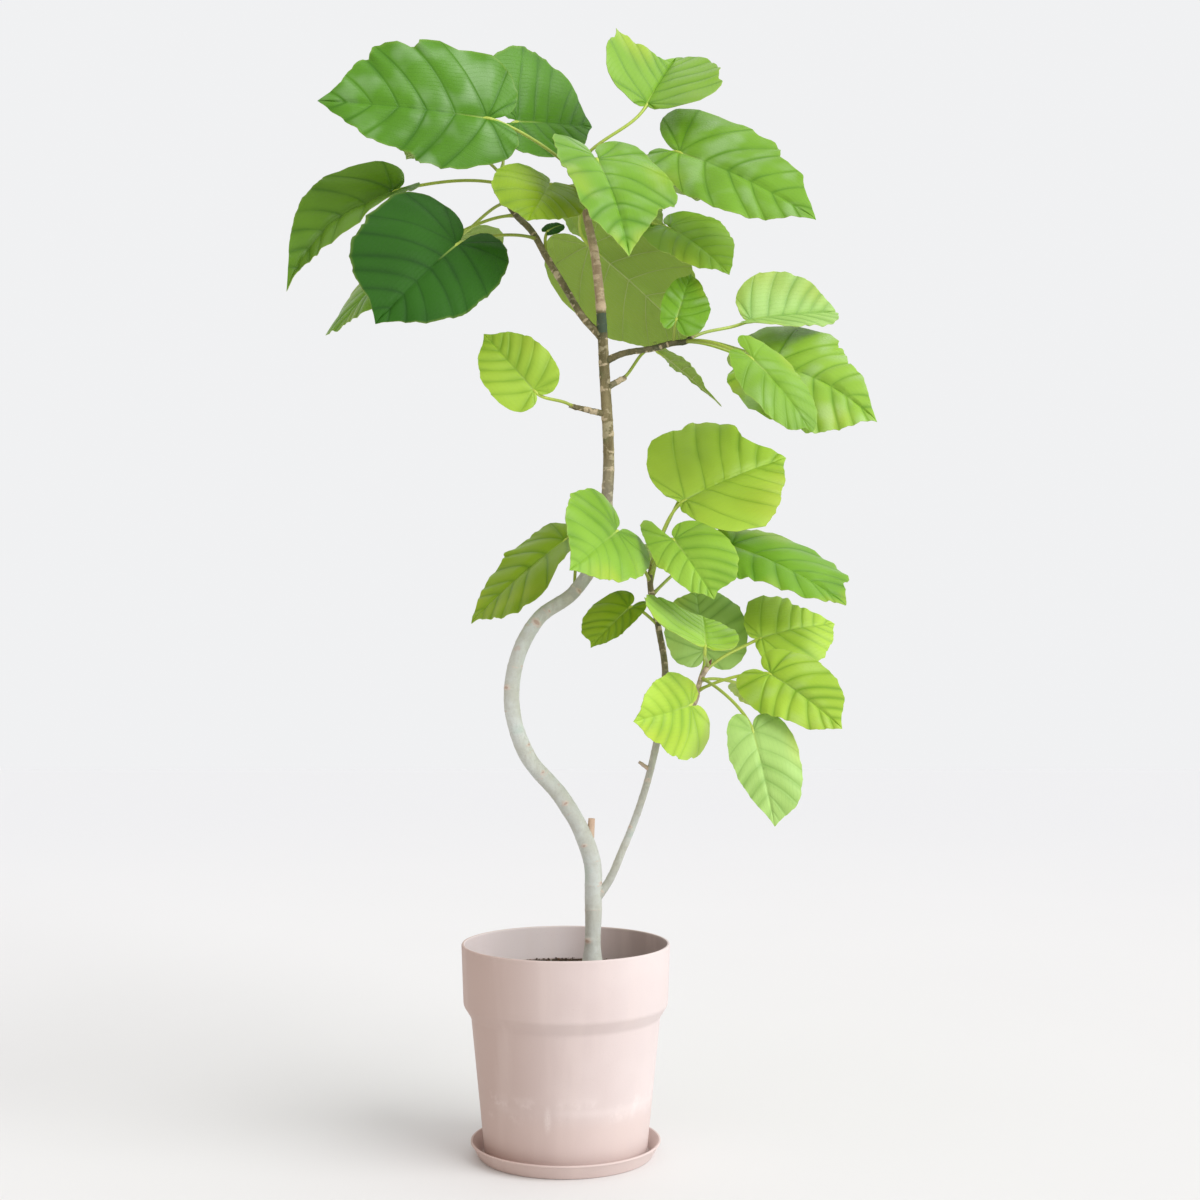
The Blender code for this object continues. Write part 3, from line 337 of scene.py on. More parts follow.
CROWN_RIGHT = {
    "upright": Leaf(
        0.087, (0.132, -0.028, 0.998), (0.151, 0.018, 1.059), (0.0, -0.9, 0.4), "green",
        quilt=0.5, gloss_and_painted_gleam=1.0,
        width=0.80, skew=0.15, arch=12, curl=10,
        plus=((0, 0.1), (0.2, 0.14), (0.3, 0.08), (0.45, 0), (0.6, -0.12), (0.7, -0.12), (0.85, 0)),
        minus=((0, 0), (0.2, -0.15), (0.4, -0.17), (0.6, -0.1), (0.8, 0)),
    ),
    "top_right": Leaf(
        0.104, (0.225, 0.030, 1.006), (0.334, 0.080, 1.024), (0.0, -0.7, 0.7), "pale",
        width=0.95, skew=-0.12, arch=10, curl=5, fold=28, twist=-25, lobes=0.6,
        plus=((0.7, 0), (0.85, 0.1), (0.95, 0.06), (1, 0)),
        minus=((0, -0.4), (0.1, -0.5), (0.2, -0.44), (0.3, -0.3), (0.38, -0.19), (0.45, -0.1), (0.6, -0.07),
               (0.7, -0.05), (0.8, -0.02), (0.9, 0.03), (0.96, 0.02), (1, 0)),
    ),
    "far_right": Leaf(
        0.092, (0.249, 0.001, 0.948), (0.363, -0.070, 0.870), (0.0, -0.8, 0.6), "lime",
        quilt=1.0, ragged=1.6, gloss_and_painted_gleam=0.6,
        width=0.90, skew=-0.05, curl=20, rise=0.4, sway=-0.04,
        plus=((0, -0.2), (0.15, -0.08), (0.22, 0), (0.3, 0.06), (0.38, 0.22), (0.45, 0.22), (0.55, 0.25),
              (0.62, 0.22), (0.7, 0.13), (0.75, 0.08), (0.85, 0.05), (0.95, 0)),
        minus=((0, 0.3), (0.08, 0.75), (0.15, 0.72), (0.3, 0.4), (0.38, 0.18), (0.45, -0.05), (0.5, -0.14),
               (0.6, -0.24), (0.67, -0.25), (0.75, -0.17), (0.85, -0.08), (1, 0)),
    ),
    "front": Leaf(
        0.102, (0.218, -0.080, 0.942), (0.280, -0.110, 0.855), (0.35, -0.85, 0.4), "fresh",
        quilt=0.2, gloss_and_painted_gleam=0.3,
        width=0.66, fold=10,
        plus=((0, -0.2), (0.25, -0.15), (0.35, 0), (0.45, 0.12), (0.6, 0.16), (0.75, 0.14), (0.85, 0.08),
              (0.93, 0), (1, 0)),
        minus=((0, 0.8), (0.05, 0.5), (0.1, 0.3), (0.2, 0.1), (0.4, 0), (0.5, -0.05), (0.6, 0.02),
               (0.7, 0.05), (0.85, 0.12), (0.93, 0.08), (1, 0)),
    ),
    "back": Leaf(
        0.096, (0.250, 0.100, 0.975), (0.325, 0.200, 0.925), (0.1, 0.4, 0.9), "green", width=0.85,
    ),
}
STEM_CROWN = {
    "left": Leaf(
        0.402, (0.061, -0.060, 0.744), (0.007, -0.150, 0.695), (0.6, -0.65, 0.4), "fresh",
        quilt=0.4,
        width=0.98, skew=0.15, curl=15,
        plus=((0, 0.05), (0.15, 0.08), (0.3, 0.02), (0.5, 0), (0.62, -0.05), (0.75, -0.07),
              (0.85, -0.03), (1, 0)),
        minus=((0, 0.15), (0.1, 0.32), (0.2, 0.36), (0.3, 0.36), (0.4, 0.22), (0.5, 0.08), (0.65, 0)),
    ),
    "upright": Leaf(
        0.416, (0.144, 0.012, 0.786), (0.276, 0.110, 0.845), (-0.2, -0.9, 0.35), "glow",
        width=0.88, skew=-0.13, arch=18, curl=15, lobes=0.7,
        plus=((0, -0.6), (0.1, -0.6), (0.2, -0.5), (0.25, -0.4), (0.3, -0.2), (0.37, 0.05), (0.45, 0.2),
              (0.5, 0.18), (0.55, 0.1), (0.6, 0.03), (0.68, -0.03), (0.8, -0.03), (1, 0)),
        minus=((0, -0.6), (0.08, -0.65), (0.15, -0.45), (0.22, -0.33), (0.3, -0.14), (0.34, -0.02),
               (0.38, 0.14), (0.5, 0.11), (0.55, 0.2), (0.59, 0.15), (0.63, 0.18), (0.7, 0.12),
               (0.75, -0.04), (0.82, 0), (0.88, 0.04), (1, 0)),
    ),
    "front": Leaf(
        0.410, (0.128, -0.050, 0.734), (0.172, -0.100, 0.663), (0.0, -0.9, 0.5), "lime",
        width=0.93, skew=-0.22,
        plus=((0, 3.0), (0.05, 1.5), (0.1, 0.75), (0.15, 0.35), (0.22, 0.12), (0.3, 0), (0.45, 0),
              (0.55, -0.08), (0.65, -0.06), (0.75, 0)),
        minus=((0, -0.2), (0.2, -0.1), (0.35, 0), (0.5, 0.08), (0.75, 0.1), (0.9, 0)),
    ),
    "right": Leaf(
        0.385, (0.203, 0.050, 0.733), (0.336, 0.000, 0.658), (0.05, -0.5, 0.87), "green",
        ragged=1.6,
        width=0.82, lobes=0.7,
        plus=((0, 0), (0.3, -0.2), (0.38, -0.13), (0.45, -0.11), (0.6, -0.13), (0.68, -0.13), (0.75, -0.05),
              (0.82, 0.02), (1, 0)),
        minus=((0, 0), (0.3, -0.02), (0.45, 0.05), (0.52, 0.16), (0.6, 0.2), (0.7, 0.18), (0.78, 0.06),
               (0.84, 0.06), (0.9, 0.05), (1, 0)),
    ),
    "back": Leaf(
        0.395, (0.125, 0.085, 0.735), (0.185, 0.180, 0.700), (0.1, 0.5, 0.8), "fresh", width=0.85,
    ),
    "high_back": Leaf(
        0.420, (0.160, 0.100, 0.826), (0.200, 0.200, 0.822), (0.1, 0.3, 0.9), "fresh", width=0.85,
    ),
}
SIDE_CROWN = {
    "front": Leaf(
        0.106, (0.163, -0.090, 0.612), (0.164, -0.005, 0.645), (0.30, -0.42, 0.82), "lime",
        quilt=0.35,
        width=1.25, skew=-0.30, arch=8, curl=-8, fold=8, lobes=0.6,
        plus=((0, -0.3), (0.15, -0.3), (0.3, -0.15), (0.4, -0.05), (0.5, 0)),
        minus=((0.15, 0), (0.3, 0.12), (0.6, 0.12), (0.75, 0.05), (0.9, 0)),
    ),
    "upright": Leaf(
        0.080, (0.170, 0.065, 0.603), (0.163, 0.135, 0.681), (0.0, -0.9, 0.4), "pale",
        width=0.95, skew=0.05, curl=15,
        plus=((0, -0.1), (0.15, 0.03), (0.3, 0.1), (0.45, 0.08), (0.75, 0.05), (1, 0)),
        minus=((0, -0.25), (0.12, -0.2), (0.2, -0.12), (0.3, -0.02), (1, 0)),
    ),
    "top_right": Leaf(
        0.098, (0.239, 0.050, 0.619), (0.336, 0.100, 0.636), (-0.1, -0.85, 0.5), "glow",
        ragged=1.6,
        width=0.90, skew=-0.05, lobes=0.8,
        plus=((0, -0.5), (0.1, -0.55), (0.18, -0.45), (0.24, -0.25), (0.3, -0.05), (0.4, 0), (0.5, 0.15),
              (0.57, 0.13), (0.63, 0.05), (0.75, 0.02), (1, 0)),
        minus=((0, -0.4), (0.15, -0.45), (0.2, -0.38), (0.27, -0.28), (0.33, -0.1), (0.38, 0.18),
               (0.45, 0.19), (0.52, 0.12), (0.6, 0.04), (0.66, -0.11), (0.72, -0.15), (0.78, -0.1),
               (0.85, -0.03), (1, 0)),
    ),
    "right": Leaf(
        0.074, (0.244, -0.020, 0.576), (0.321, -0.080, 0.514), (0.0, -0.8, 0.5), "glow", width=0.88,
        quilt=1.1, gloss_and_painted_gleam=0.3,
        plus=((0.38, 0), (0.45, -0.03), (0.55, -0.08), (0.6, -0.12), (0.66, -0.1), (0.72, -0.03),
              (0.8, 0.02), (0.88, 0.03), (1, 0)),
    ),
    "hanging": Leaf(
        0.090, (0.220, -0.060, 0.510), (0.241, -0.100, 0.403), (0.0, -0.9, 0.4), "pale",
        quilt=0.35,
        width=0.73, skew=-0.08,
        plus=((0, -0.1), (0.15, -0.15), (0.3, -0.12), (0.45, -0.12), (0.52, -0.14), (0.67, -0.15),
              (0.75, -0.12), (0.85, -0.05), (1, 0)),
        minus=((0, -0.4), (0.1, -0.38), (0.18, -0.3), (0.25, -0.12), (0.32, 0), (0.45, 0.03), (0.6, 0.05),
               (0.67, 0.09), (0.75, 0.07), (0.88, 0.04), (1, 0)),
    ),
    "left": Leaf(
        0.070, (0.147, -0.050, 0.540), (0.079, -0.115, 0.524), (0.6, -0.75, 0.05), "glow",
        quilt=0.5,
        width=1.0, skew=-0.08, lobes=1.25,
        plus=((0, -0.3), (0.15, -0.32), (0.25, -0.3), (0.34, -0.15), (0.4, -0.03), (0.45, 0)),
        minus=((0, 0.15), (0.08, 0.32), (0.15, 0.4), (0.3, 0.42), (0.36, 0.31), (0.42, 0.2), (0.5, 0.06),
               (0.6, -0.03), (0.7, -0.08), (0.8, 0), (1, 0)),
    ),
    "back": Leaf(
        0.086, (0.238, 0.085, 0.560), (0.280, 0.170, 0.515), (0.1, 0.4, 0.9), "lime", width=0.80,
    ),
}
LONE_LEAVES = {
    "leaf_upper_right": (
        TRUNK,
        Leaf(
            0.782, (0.113, 0.035, 0.970), (0.1895, 0.030, 0.900), (0.6, 0.1, 0.8), "green",
            width=0.72, arch=6, curl=6, fold=3, twist=35, lobes=0.4, rise=0.0,
            plus=((0, -0.3), (0.3, -0.35), (0.6, -0.3), (0.9, -0.25), (1, 0)),
            minus=((0, -0.4), (0.3, -0.45), (0.45, -0.55), (0.75, -0.5), (0.9, -0.3), (1, 0)),
        ),
    ),
    "leaf_upper_left": (
        TRUNK,
        Leaf(
            0.747, (-0.038, -0.020, 0.914), (-0.098, -0.010, 0.982), (0.0, -0.95, 0.3), "glow",
            width=0.96, arch=12, curl=12, lobes=0.55,
        ),
    ),
    "leaf_bow": (
        TRUNK,
        Leaf(
            0.522, (-0.003, 0.055, 0.740), (-0.114, 0.005, 0.636), (-0.2, -0.42, 0.85), "olive",
            width=0.82, arch=15, curl=15, lobes=0.4,
            plus=((0, 0), (0.3, -0.1), (0.45, -0.2), (0.52, -0.12), (0.6, -0.26), (0.67, -0.16),
                  (0.75, -0.14), (0.85, -0.06), (0.93, 0), (1, 0)),
            minus=((0, -0.3), (0.3, -0.35), (0.45, -0.4), (0.55, -0.1), (0.62, 0.12), (0.68, 0.15),
                   (0.75, 0.1), (0.85, 0.05), (0.92, 0), (1, 0)),
            ragged=1.7,
        ),
    ),
    "leaf_right_stem": (
        RIGHT_STEM,
        Leaf(
            0.348, (0.076, -0.010, 0.655), (0.030, -0.035, 0.607), (0.0, -0.9, 0.5), "olive",
            width=0.72, skew=0.3,
            plus=((0.3, 0.05), (0.45, 0.12), (0.6, 0.15), (0.75, 0.12), (0.9, 0)),
            minus=((0, 0.1), (0.15, 0.15), (0.3, 0.05), (0.45, 0)),
        ),
    ),
}
CROWNS = {
    "crown_top": (TRUNK, CROWN_TOP),
    "crown_left": (LEFT_BOUGH, CROWN_LEFT),
    "crown_right": (RIGHT_BOUGH, CROWN_RIGHT),
    "crown_right_stem": (RIGHT_STEM, STEM_CROWN),
    "crown_side_branch": (SIDE_BRANCH, SIDE_CROWN),
}


def linear(colour):
    """Scene-linear RGBA of an sRGB colour in 0 to 255."""
    return tuple(((c / 255 + 0.055) / 1.055) ** 2.4 for c in colour) + (1.0,)


class Paint:
    """A material and the nodes that feed its Principled shader."""

    def __init__(self, name, **constants):
        self.material = bpy.data.materials.new(name)
        self.material.use_nodes = True
        self.tree = self.material.node_tree
        self.shader = self.tree.nodes["Principled BSDF"]
        for key, value in constants.items():
            self.shader.inputs[key.replace("_", " ")].default_value = value
        self.place = self.make("TexCoord", {}).outputs["Object"]

    def put(self, socket, value):
        if isinstance(value, bpy.types.NodeSocket):
            self.tree.links.new(value, socket)
        else:
            socket.default_value = value

    def make(self, kind, inputs, **settings):
        made = self.tree.nodes.new("ShaderNode" + kind)
        for key, value in settings.items():
            setattr(made, key, value)
        for key, value in inputs.items():
            self.put(made.inputs[key], value)
        return made

    def maths(self, operation, a, b=0.0, clamp=False):
        return self.make("Math", {0: a, 1: b}, operation=operation, use_clamp=clamp).outputs[0]

    def stretch(self, scale):
        """The object's coordinates, scaled by axis."""
        return self.make("VectorMath", {0: self.place, 1: scale}, operation="MULTIPLY").outputs[0]

    def noise(self, scale, detail=3.0, roughness=0.5, where=None):
        inputs = {"Vector": where or self.place, "Scale": scale, "Detail": detail, "Roughness": roughness}
        return self.make("TexNoise", inputs).outputs["Fac"]

    def cells(self, scale, feature="F1", where=None, output="Distance"):
        inputs = {"Vector": where or self.place, "Scale": scale}
        return self.make("TexVoronoi", inputs, feature=feature).outputs[output]

    def ramp(self, value, low, high, to_low=0.0, to_high=1.0):
        """A smooth step of value from low to high."""
        inputs = {"Value": value, 1: low, 2: high, 3: to_low, 4: to_high}
        return self.make("MapRange", inputs, interpolation_type="SMOOTHSTEP").outputs[0]

    def mix(self, share, a, b, blend="MIX"):
        """Colour a turned to colour b by share. Plain colours are sRGB."""
        made = self.make("Mix", {}, data_type="RGBA", blend_type=blend)
        for index, value in ((0, share), (6, a), (7, b)):
            self.put(made.inputs[index], linear(value) if isinstance(value, tuple) else value)
        return made.outputs[2]

    def attribute(self, name, output="Fac"):
        return self.make("Attribute", {}, attribute_name=name).outputs[output]

    def bump(self, height, distance, strength=1.0):
        """Adds a bump over those before it."""
        inputs = {"Height": height, "Distance": distance, "Strength": strength}
        before = self.shader.inputs["Normal"]
        if before.is_linked:
            inputs["Normal"] = before.links[0].from_socket
        self.put(before, self.make("Bump", inputs).outputs[0])

    def finish(self, colour, roughness=None):
        self.put(self.shader.inputs["Base Color"], colour)
        if roughness is not None:
            self.put(self.shader.inputs["Roughness"], roughness)
        return self.material


def leaf_paint(name, under):
    """A blade's skin. Its veins come from distances in millimetres that the mesh carries. Its upper side holds
    painted shade in the vein creases and painted highlights on the quilts, with painted whitish highlights on some
    blades.
    """
    paint = Paint(name, Specular_IOR_Level=0.22)
    tint = paint.attribute("tint", "Color")
    rib = paint.attribute("rib_mm")
    vein = paint.attribute("vein_mm")
    run = paint.attribute("run_mm")
    edge = paint.attribute("across")
    relief = paint.attribute("relief")
    patches = paint.noise(14.0, 2.0, 0.45)
    grain = paint.noise(420.0, 2.0, 0.6)
    dark = paint.mix(1.0, tint, (226, 236, 214), "MULTIPLY")
    bright = paint.mix(0.16, tint, tint, "ADD")
    colour = paint.mix(paint.ramp(patches, 0.30, 0.70), dark, bright)
    # Painted highlight: the quilts between the veins are painted paler, towards the brighter tint, than the blade
    # next to the veins.
    colour = paint.mix(paint.ramp(vein, 1.5, 8.0, 0.0, 0.5), colour, bright)
    shade = paint.make("SeparateColor", {0: tint}).outputs[1]
    ripe = paint.maths("MULTIPLY", paint.ramp(paint.noise(11.0, 1.0), 0.52, 0.70), paint.ramp(edge, 0.2, 1.0, 0.0, 0.36))
    colour = paint.mix(paint.maths("MULTIPLY", ripe, paint.ramp(shade, 0.24, 0.40)), colour, (190, 200, 60))
    colour = paint.mix(paint.ramp(edge, 0.95, 1.0, 0.0, 0.12), colour, (196, 208, 104))
    # Painted shade: the sunken creases along the veins are painted darker, more on deeply quilted blades and less on
    # pale ones.
    painted_crease_shade = paint.maths("MULTIPLY", paint.ramp(vein, 0.0, 3.8, 0.42, 0.0), relief)
    painted_crease_shade = paint.maths("MULTIPLY", painted_crease_shade, paint.ramp(shade, 0.28, 0.52, 1.0, 0.72))
    painted_crease_shade = paint.maths("MULTIPLY", painted_crease_shade, paint.ramp(paint.noise(32.0, 1.0), 0.35, 0.65, 0.35, 1.0))
    wiggle = paint.maths("MULTIPLY", paint.noise(90.0, 1.0), 3.2)
    ladder = paint.maths("PINGPONG", paint.maths("ADD", run, wiggle), 2.9)
    ladder = paint.ramp(ladder, 0.0, 0.42, 1.0, 0.0)
    ladder = paint.maths("MULTIPLY", ladder, paint.ramp(vein, 0.4, 2.0))
    net = paint.cells(470.0, "DISTANCE_TO_EDGE")
    net = paint.ramp(net, 0.0, 0.14, 1.0, 0.0)
    vein_half = paint.ramp(edge, 0.0, 1.0, 0.60, 0.22)
    vein_line = paint.ramp(paint.maths("DIVIDE", vein, vein_half), 0.55, 1.5, 1.0, 0.0)
    rib_half = paint.ramp(paint.attribute("along"), 0.0, 1.0, 1.15, 0.35)
    rib_line = paint.ramp(paint.maths("DIVIDE", rib, rib_half), 0.6, 1.35, 1.0, 0.0)
    lines = paint.maths("MAXIMUM", vein_line, rib_line)
    if under:
        colour = paint.mix(0.45, colour, (178, 194, 96))
        colour = paint.mix(paint.maths("MULTIPLY", net, 0.16), colour, (176, 192, 128))
        colour = paint.mix(paint.maths("MULTIPLY", ladder, 0.30), colour, (182, 198, 130))
        colour = paint.mix(paint.maths("MULTIPLY", lines, 0.62), colour, (196, 206, 142))
        paint.bump(paint.maths("ADD", lines, paint.maths("MULTIPLY", ladder, 0.35)), 0.0005)
        paint.bump(net, 0.00012)
        return paint.finish(colour, paint.ramp(grain, 0.3, 0.7, 0.50, 0.62))
    # Painted shade on the upper side: the vein creases, cross veins and vein lines are painted a darker green.
    deep = paint.mix(1.0, tint, (150, 190, 140), "MULTIPLY")
    colour = paint.mix(painted_crease_shade, colour, deep)
    colour = paint.mix(paint.maths("MULTIPLY", ladder, 0.08), colour, deep)
    colour = paint.mix(paint.maths("MULTIPLY", lines, paint.ramp(relief, 0.2, 1.0, 0.06, 0.24)), colour, deep)
    foot = paint.maths("MULTIPLY", rib_line, paint.ramp(paint.attribute("far_mm"), 4.0, 48.0, 0.55, 0.0))
    colour = paint.mix(foot, colour, (176, 202, 100))
    crease = paint.maths("MINIMUM", paint.ramp(vein, 0.0, 2.4), paint.ramp(rib, 0.0, 2.4))
    paint.bump(crease, 0.0003)
    paint.bump(paint.maths("MULTIPLY", ladder, -1.0), 0.00012)
    paint.bump(paint.cells(900.0), 0.00008)
    # Painted highlight: these blades get whitish highlight patches painted between the veins, and their roughness
    # drops there as real gloss.
    painted_shine_and_gloss = paint.maths("MULTIPLY", paint.attribute("gloss_and_painted_gleam"), paint.ramp(paint.noise(30.0, 1.5, 0.4), 0.44, 0.72))
    painted_shine_and_gloss = paint.maths("MULTIPLY", painted_shine_and_gloss, paint.ramp(vein, 0.6, 5.0))
    colour = paint.mix(paint.maths("MULTIPLY", painted_shine_and_gloss, 0.36), colour, (208, 228, 200))
    rough = paint.maths("ADD", paint.ramp(grain, 0.3, 0.7, 0.30, 0.40), paint.ramp(shade, 0.10, 0.24, 0.30, 0.0))
    return paint.finish(colour, paint.maths("SUBTRACT", rough, paint.maths("MULTIPLY", painted_shine_and_gloss, 0.16)))


def stalk_paint():
    """Leaf stalks: brownish green at the foot, yellow-green towards the blade."""
    paint = Paint("leaf_stalk", Specular_IOR_Level=0.5)
    along = paint.attribute("along")
    tint = paint.attribute("tint", "Color")
    colour = paint.mix(paint.ramp(along, 0.0, 0.85), (152, 164, 58), (200, 216, 88))
    colour = paint.mix(0.25, colour, tint)
    colour = paint.mix(paint.ramp(along, 0.0, 0.06, 0.75, 0.0), colour, (126, 104, 62))
    streak = paint.noise(260.0, 2.0, 0.5, paint.stretch((1.0, 1.0, 0.25)))
    colour = paint.mix(paint.ramp(streak, 0.35, 0.7, 0.0, 0.30), colour, (146, 160, 70))
    paint.bump(streak, 0.00025)
    return paint.finish(colour, paint.ramp(streak, 0.3, 0.7, 0.36, 0.5))


def bark_paint():
    """Bark: pale grey-green on the old trunk, brown and green with pale ring scars above."""
    paint = Paint("bark_skin", Specular_IOR_Level=0.35)
    youth = paint.attribute("youth")
    scar = paint.attribute("scar")
    dark = paint.attribute("dark")
    broad = paint.noise(26.0, 4.0, 0.55)
    streaks = paint.noise(70.0, 4.0, 0.6, paint.stretch((1.0, 1.0, 0.22)))
    fine = paint.noise(420.0, 4.0, 0.65)
    old = paint.mix(paint.ramp(broad, 0.35, 0.65), (194, 195, 183), (208, 212, 206))
    old = paint.mix(paint.ramp(streaks, 0.50, 0.72, 0.0, 0.45), old, (222, 227, 218))
    old = paint.mix(paint.ramp(broad, 0.56, 0.70, 0.0, 0.55), old, (180, 198, 184))
    blush = paint.noise(62.0, 2.0, 0.5, paint.stretch((1.0, 1.0, 0.7)))
    old = paint.mix(paint.ramp(blush, 0.67, 0.74, 0.0, 0.40), old, (200, 170, 154))
    young = paint.mix(paint.ramp(streaks, 0.38, 0.62), (116, 102, 66), (158, 144, 104))
    young = paint.mix(paint.ramp(broad, 0.52, 0.66, 0.0, 0.65), young, (104, 118, 70))
    blots = paint.noise(58.0, 3.0, 0.6, paint.stretch((1.0, 1.0, 1.7)))
    young = paint.mix(paint.ramp(blots, 0.53, 0.60, 0.0, 0.75), young, (204, 190, 154))
    shade = paint.mix(paint.ramp(streaks, 0.38, 0.62), (60, 70, 42), (100, 94, 60))
    colour = paint.mix(youth, old, young)
    colour = paint.mix(dark, colour, shade)
    pores = paint.cells(520.0, "F1", paint.stretch((1.0, 1.0, 1.8)))
    pores = paint.ramp(pores, 0.10, 0.26, 1.0, 0.0)
    colour = paint.mix(paint.maths("MULTIPLY", pores, 0.45), colour, (196, 180, 150))
    torn = paint.maths("ADD", scar, paint.ramp(fine, 0.35, 0.65, -0.22, 0.22))
    cork = paint.mix(youth, (212, 198, 184), (208, 190, 156))
    colour = paint.mix(paint.ramp(torn, 0.25, 0.62, 0.0, 0.80), colour, cork)
    core = paint.maths("MULTIPLY", paint.ramp(scar, 0.86, 0.96), paint.ramp(youth, 0.2, 0.7, 0.6, 0.0))
    colour = paint.mix(core, colour, (176, 138, 118))
    colour = paint.mix(paint.attribute("wood"), colour, (218, 184, 158))
    colour = paint.mix(paint.ramp(dark, 0.91, 0.95, 0.0, 0.75), colour, (58, 84, 68))
    speck = paint.maths("MULTIPLY", paint.ramp(fine, 0.42, 0.70, 0.0, 0.24), paint.ramp(youth, 0.0, 1.0, 0.35, 1.0))
    colour = paint.mix(speck, colour, (96, 84, 64))
    paint.bump(streaks, 0.0006)
    paint.bump(fine, 0.0003)
    paint.bump(pores, 0.0003)
    return paint.finish(colour, paint.ramp(fine, 0.3, 0.7, 0.62, 0.82))


def bud_paint(name, low, high):
    """A bud's sheath, from one colour at its foot to another at its point."""
    paint = Paint(name, Specular_IOR_Level=0.5)
    along = paint.attribute("along")
    streak = paint.noise(700.0, 2.0, 0.5, paint.stretch((1.0, 1.0, 0.2)))
    colour = paint.mix(paint.ramp(along, 0.05, 0.9), low, high)
    colour = paint.mix(paint.ramp(streak, 0.4, 0.7, 0.0, 0.25), colour, (150, 116, 70))
    paint.bump(streak, 0.0002)
    return paint.finish(colour, paint.ramp(streak, 0.3, 0.7, 0.36, 0.5))


def plastic_paint(name):
    """Matte pinkish beige plastic with faint streaks, scuffs and pale marks of dried water near its foot. Its left
    side carries painted shade and its right side painted light, and inside the rim the left wall is painted lit and
    the right wall shaded.
    """
    paint = Paint(name, Specular_IOR_Level=0.22)
    cloud = paint.noise(9.0, 3.0, 0.5)
    fall = paint.noise(34.0, 3.0, 0.5, paint.stretch((1.0, 1.0, 0.10)))
    speck = paint.noise(900.0, 2.0, 0.6)
    marks = paint.noise(36.0, 5.0, 0.62)
    across, _, height = paint.make("SeparateXYZ", {0: paint.place}).outputs
    flat = paint.make("VectorMath", {0: paint.place, 1: (1.0, 1.0, 0.0)}, operation="MULTIPLY").outputs[0]
    reach = paint.make("VectorMath", {0: flat}, operation="LENGTH").outputs["Value"]
    inside = paint.maths("MULTIPLY", paint.ramp(height, 0.212, 0.214), paint.ramp(reach, 0.1214, 0.1228, 1.0, 0.0))
    colour = paint.mix(paint.ramp(cloud, 0.35, 0.65), (207, 190, 186), (213, 197, 193))
    # Painted shade and light: the plastic is painted darker and warmer on the left and paler on the right, as the
    # light falls from the right.
    colour = paint.mix(paint.ramp(across, -0.11, 0.03, 0.66, 0.0), colour, (190, 162, 149))
    colour = paint.mix(paint.ramp(across, 0.01, 0.11, 0.0, 0.36), colour, (230, 221, 219))
    # Painted light and shade inside the rim: the left inner wall is painted paler as lit, and the right inner wall
    # darker as shaded.
    colour = paint.mix(paint.maths("MULTIPLY", inside, paint.ramp(across, -0.02, 0.06, 0.75, 0.0)), colour, (236, 226, 226))
    colour = paint.mix(paint.maths("MULTIPLY", inside, paint.ramp(across, 0.02, 0.10, 0.0, 0.60)), colour, (150, 128, 120))
    colour = paint.mix(paint.ramp(fall, 0.48, 0.72, 0.0, 0.22), colour, (224, 207, 200))
    level = paint.maths("ABSOLUTE", paint.maths("SUBTRACT", height, 0.074))
    stain = paint.maths("MULTIPLY", paint.ramp(marks, 0.50, 0.68), paint.ramp(level, 0.004, 0.022, 1.0, 0.0))
    line = paint.maths("MULTIPLY", paint.ramp(level, 0.0, 0.008, 1.0, 0.0), paint.ramp(cloud, 0.4, 0.6, 0.0, 0.5))
    colour = paint.mix(paint.maths("MULTIPLY", paint.maths("MAXIMUM", stain, line), 0.36), colour, (240, 228, 224))
    colour = paint.mix(paint.ramp(height, 0.050, 0.078, 0.40, 0.0), colour, (206, 182, 173))
    off = paint.make("VectorMath", {0: paint.place, 1: RUN_MARK}, operation="SUBTRACT").outputs[0]
    off = paint.make("VectorMath", {0: off, 1: (170.0, 20.0, 46.0)}, operation="MULTIPLY").outputs[0]
    run = paint.ramp(paint.make("VectorMath", {0: off}, operation="LENGTH").outputs["Value"], 0.10, 1.0, 0.42, 0.0)
    colour = paint.mix(paint.maths("MULTIPLY", run, paint.ramp(speck, 0.30, 0.60)), colour, (242, 232, 227))
    colour = paint.mix(paint.ramp(speck, 0.62, 0.76, 0.0, 0.25), colour, (178, 146, 134))
    paint.bump(speck, 0.00012)
    return paint.finish(colour, paint.ramp(marks, 0.3, 0.7, 0.50, 0.62))


def soil_paint():
    """Potting mix: dark crumbs with scattered pale bits."""
    paint = Paint("potting_mix", Specular_IOR_Level=0.3)
    lumps = paint.noise(160.0, 5.0, 0.6)
    grain = paint.attribute("grain")
    colour = paint.mix(paint.ramp(lumps, 0.35, 0.65), (44, 33, 26), (86, 68, 52))
    colour = paint.mix(paint.ramp(grain, 0.55, 0.75, 0.0, 0.8), colour, (112, 84, 58))
    colour = paint.mix(paint.ramp(grain, 0.93, 0.95), colour, (206, 200, 188))
    paint.bump(lumps, 0.0012)
    paint.bump(paint.noise(900.0, 2.0), 0.0003)
    return paint.finish(colour, paint.ramp(lumps, 0.3, 0.7, 0.85, 0.98))


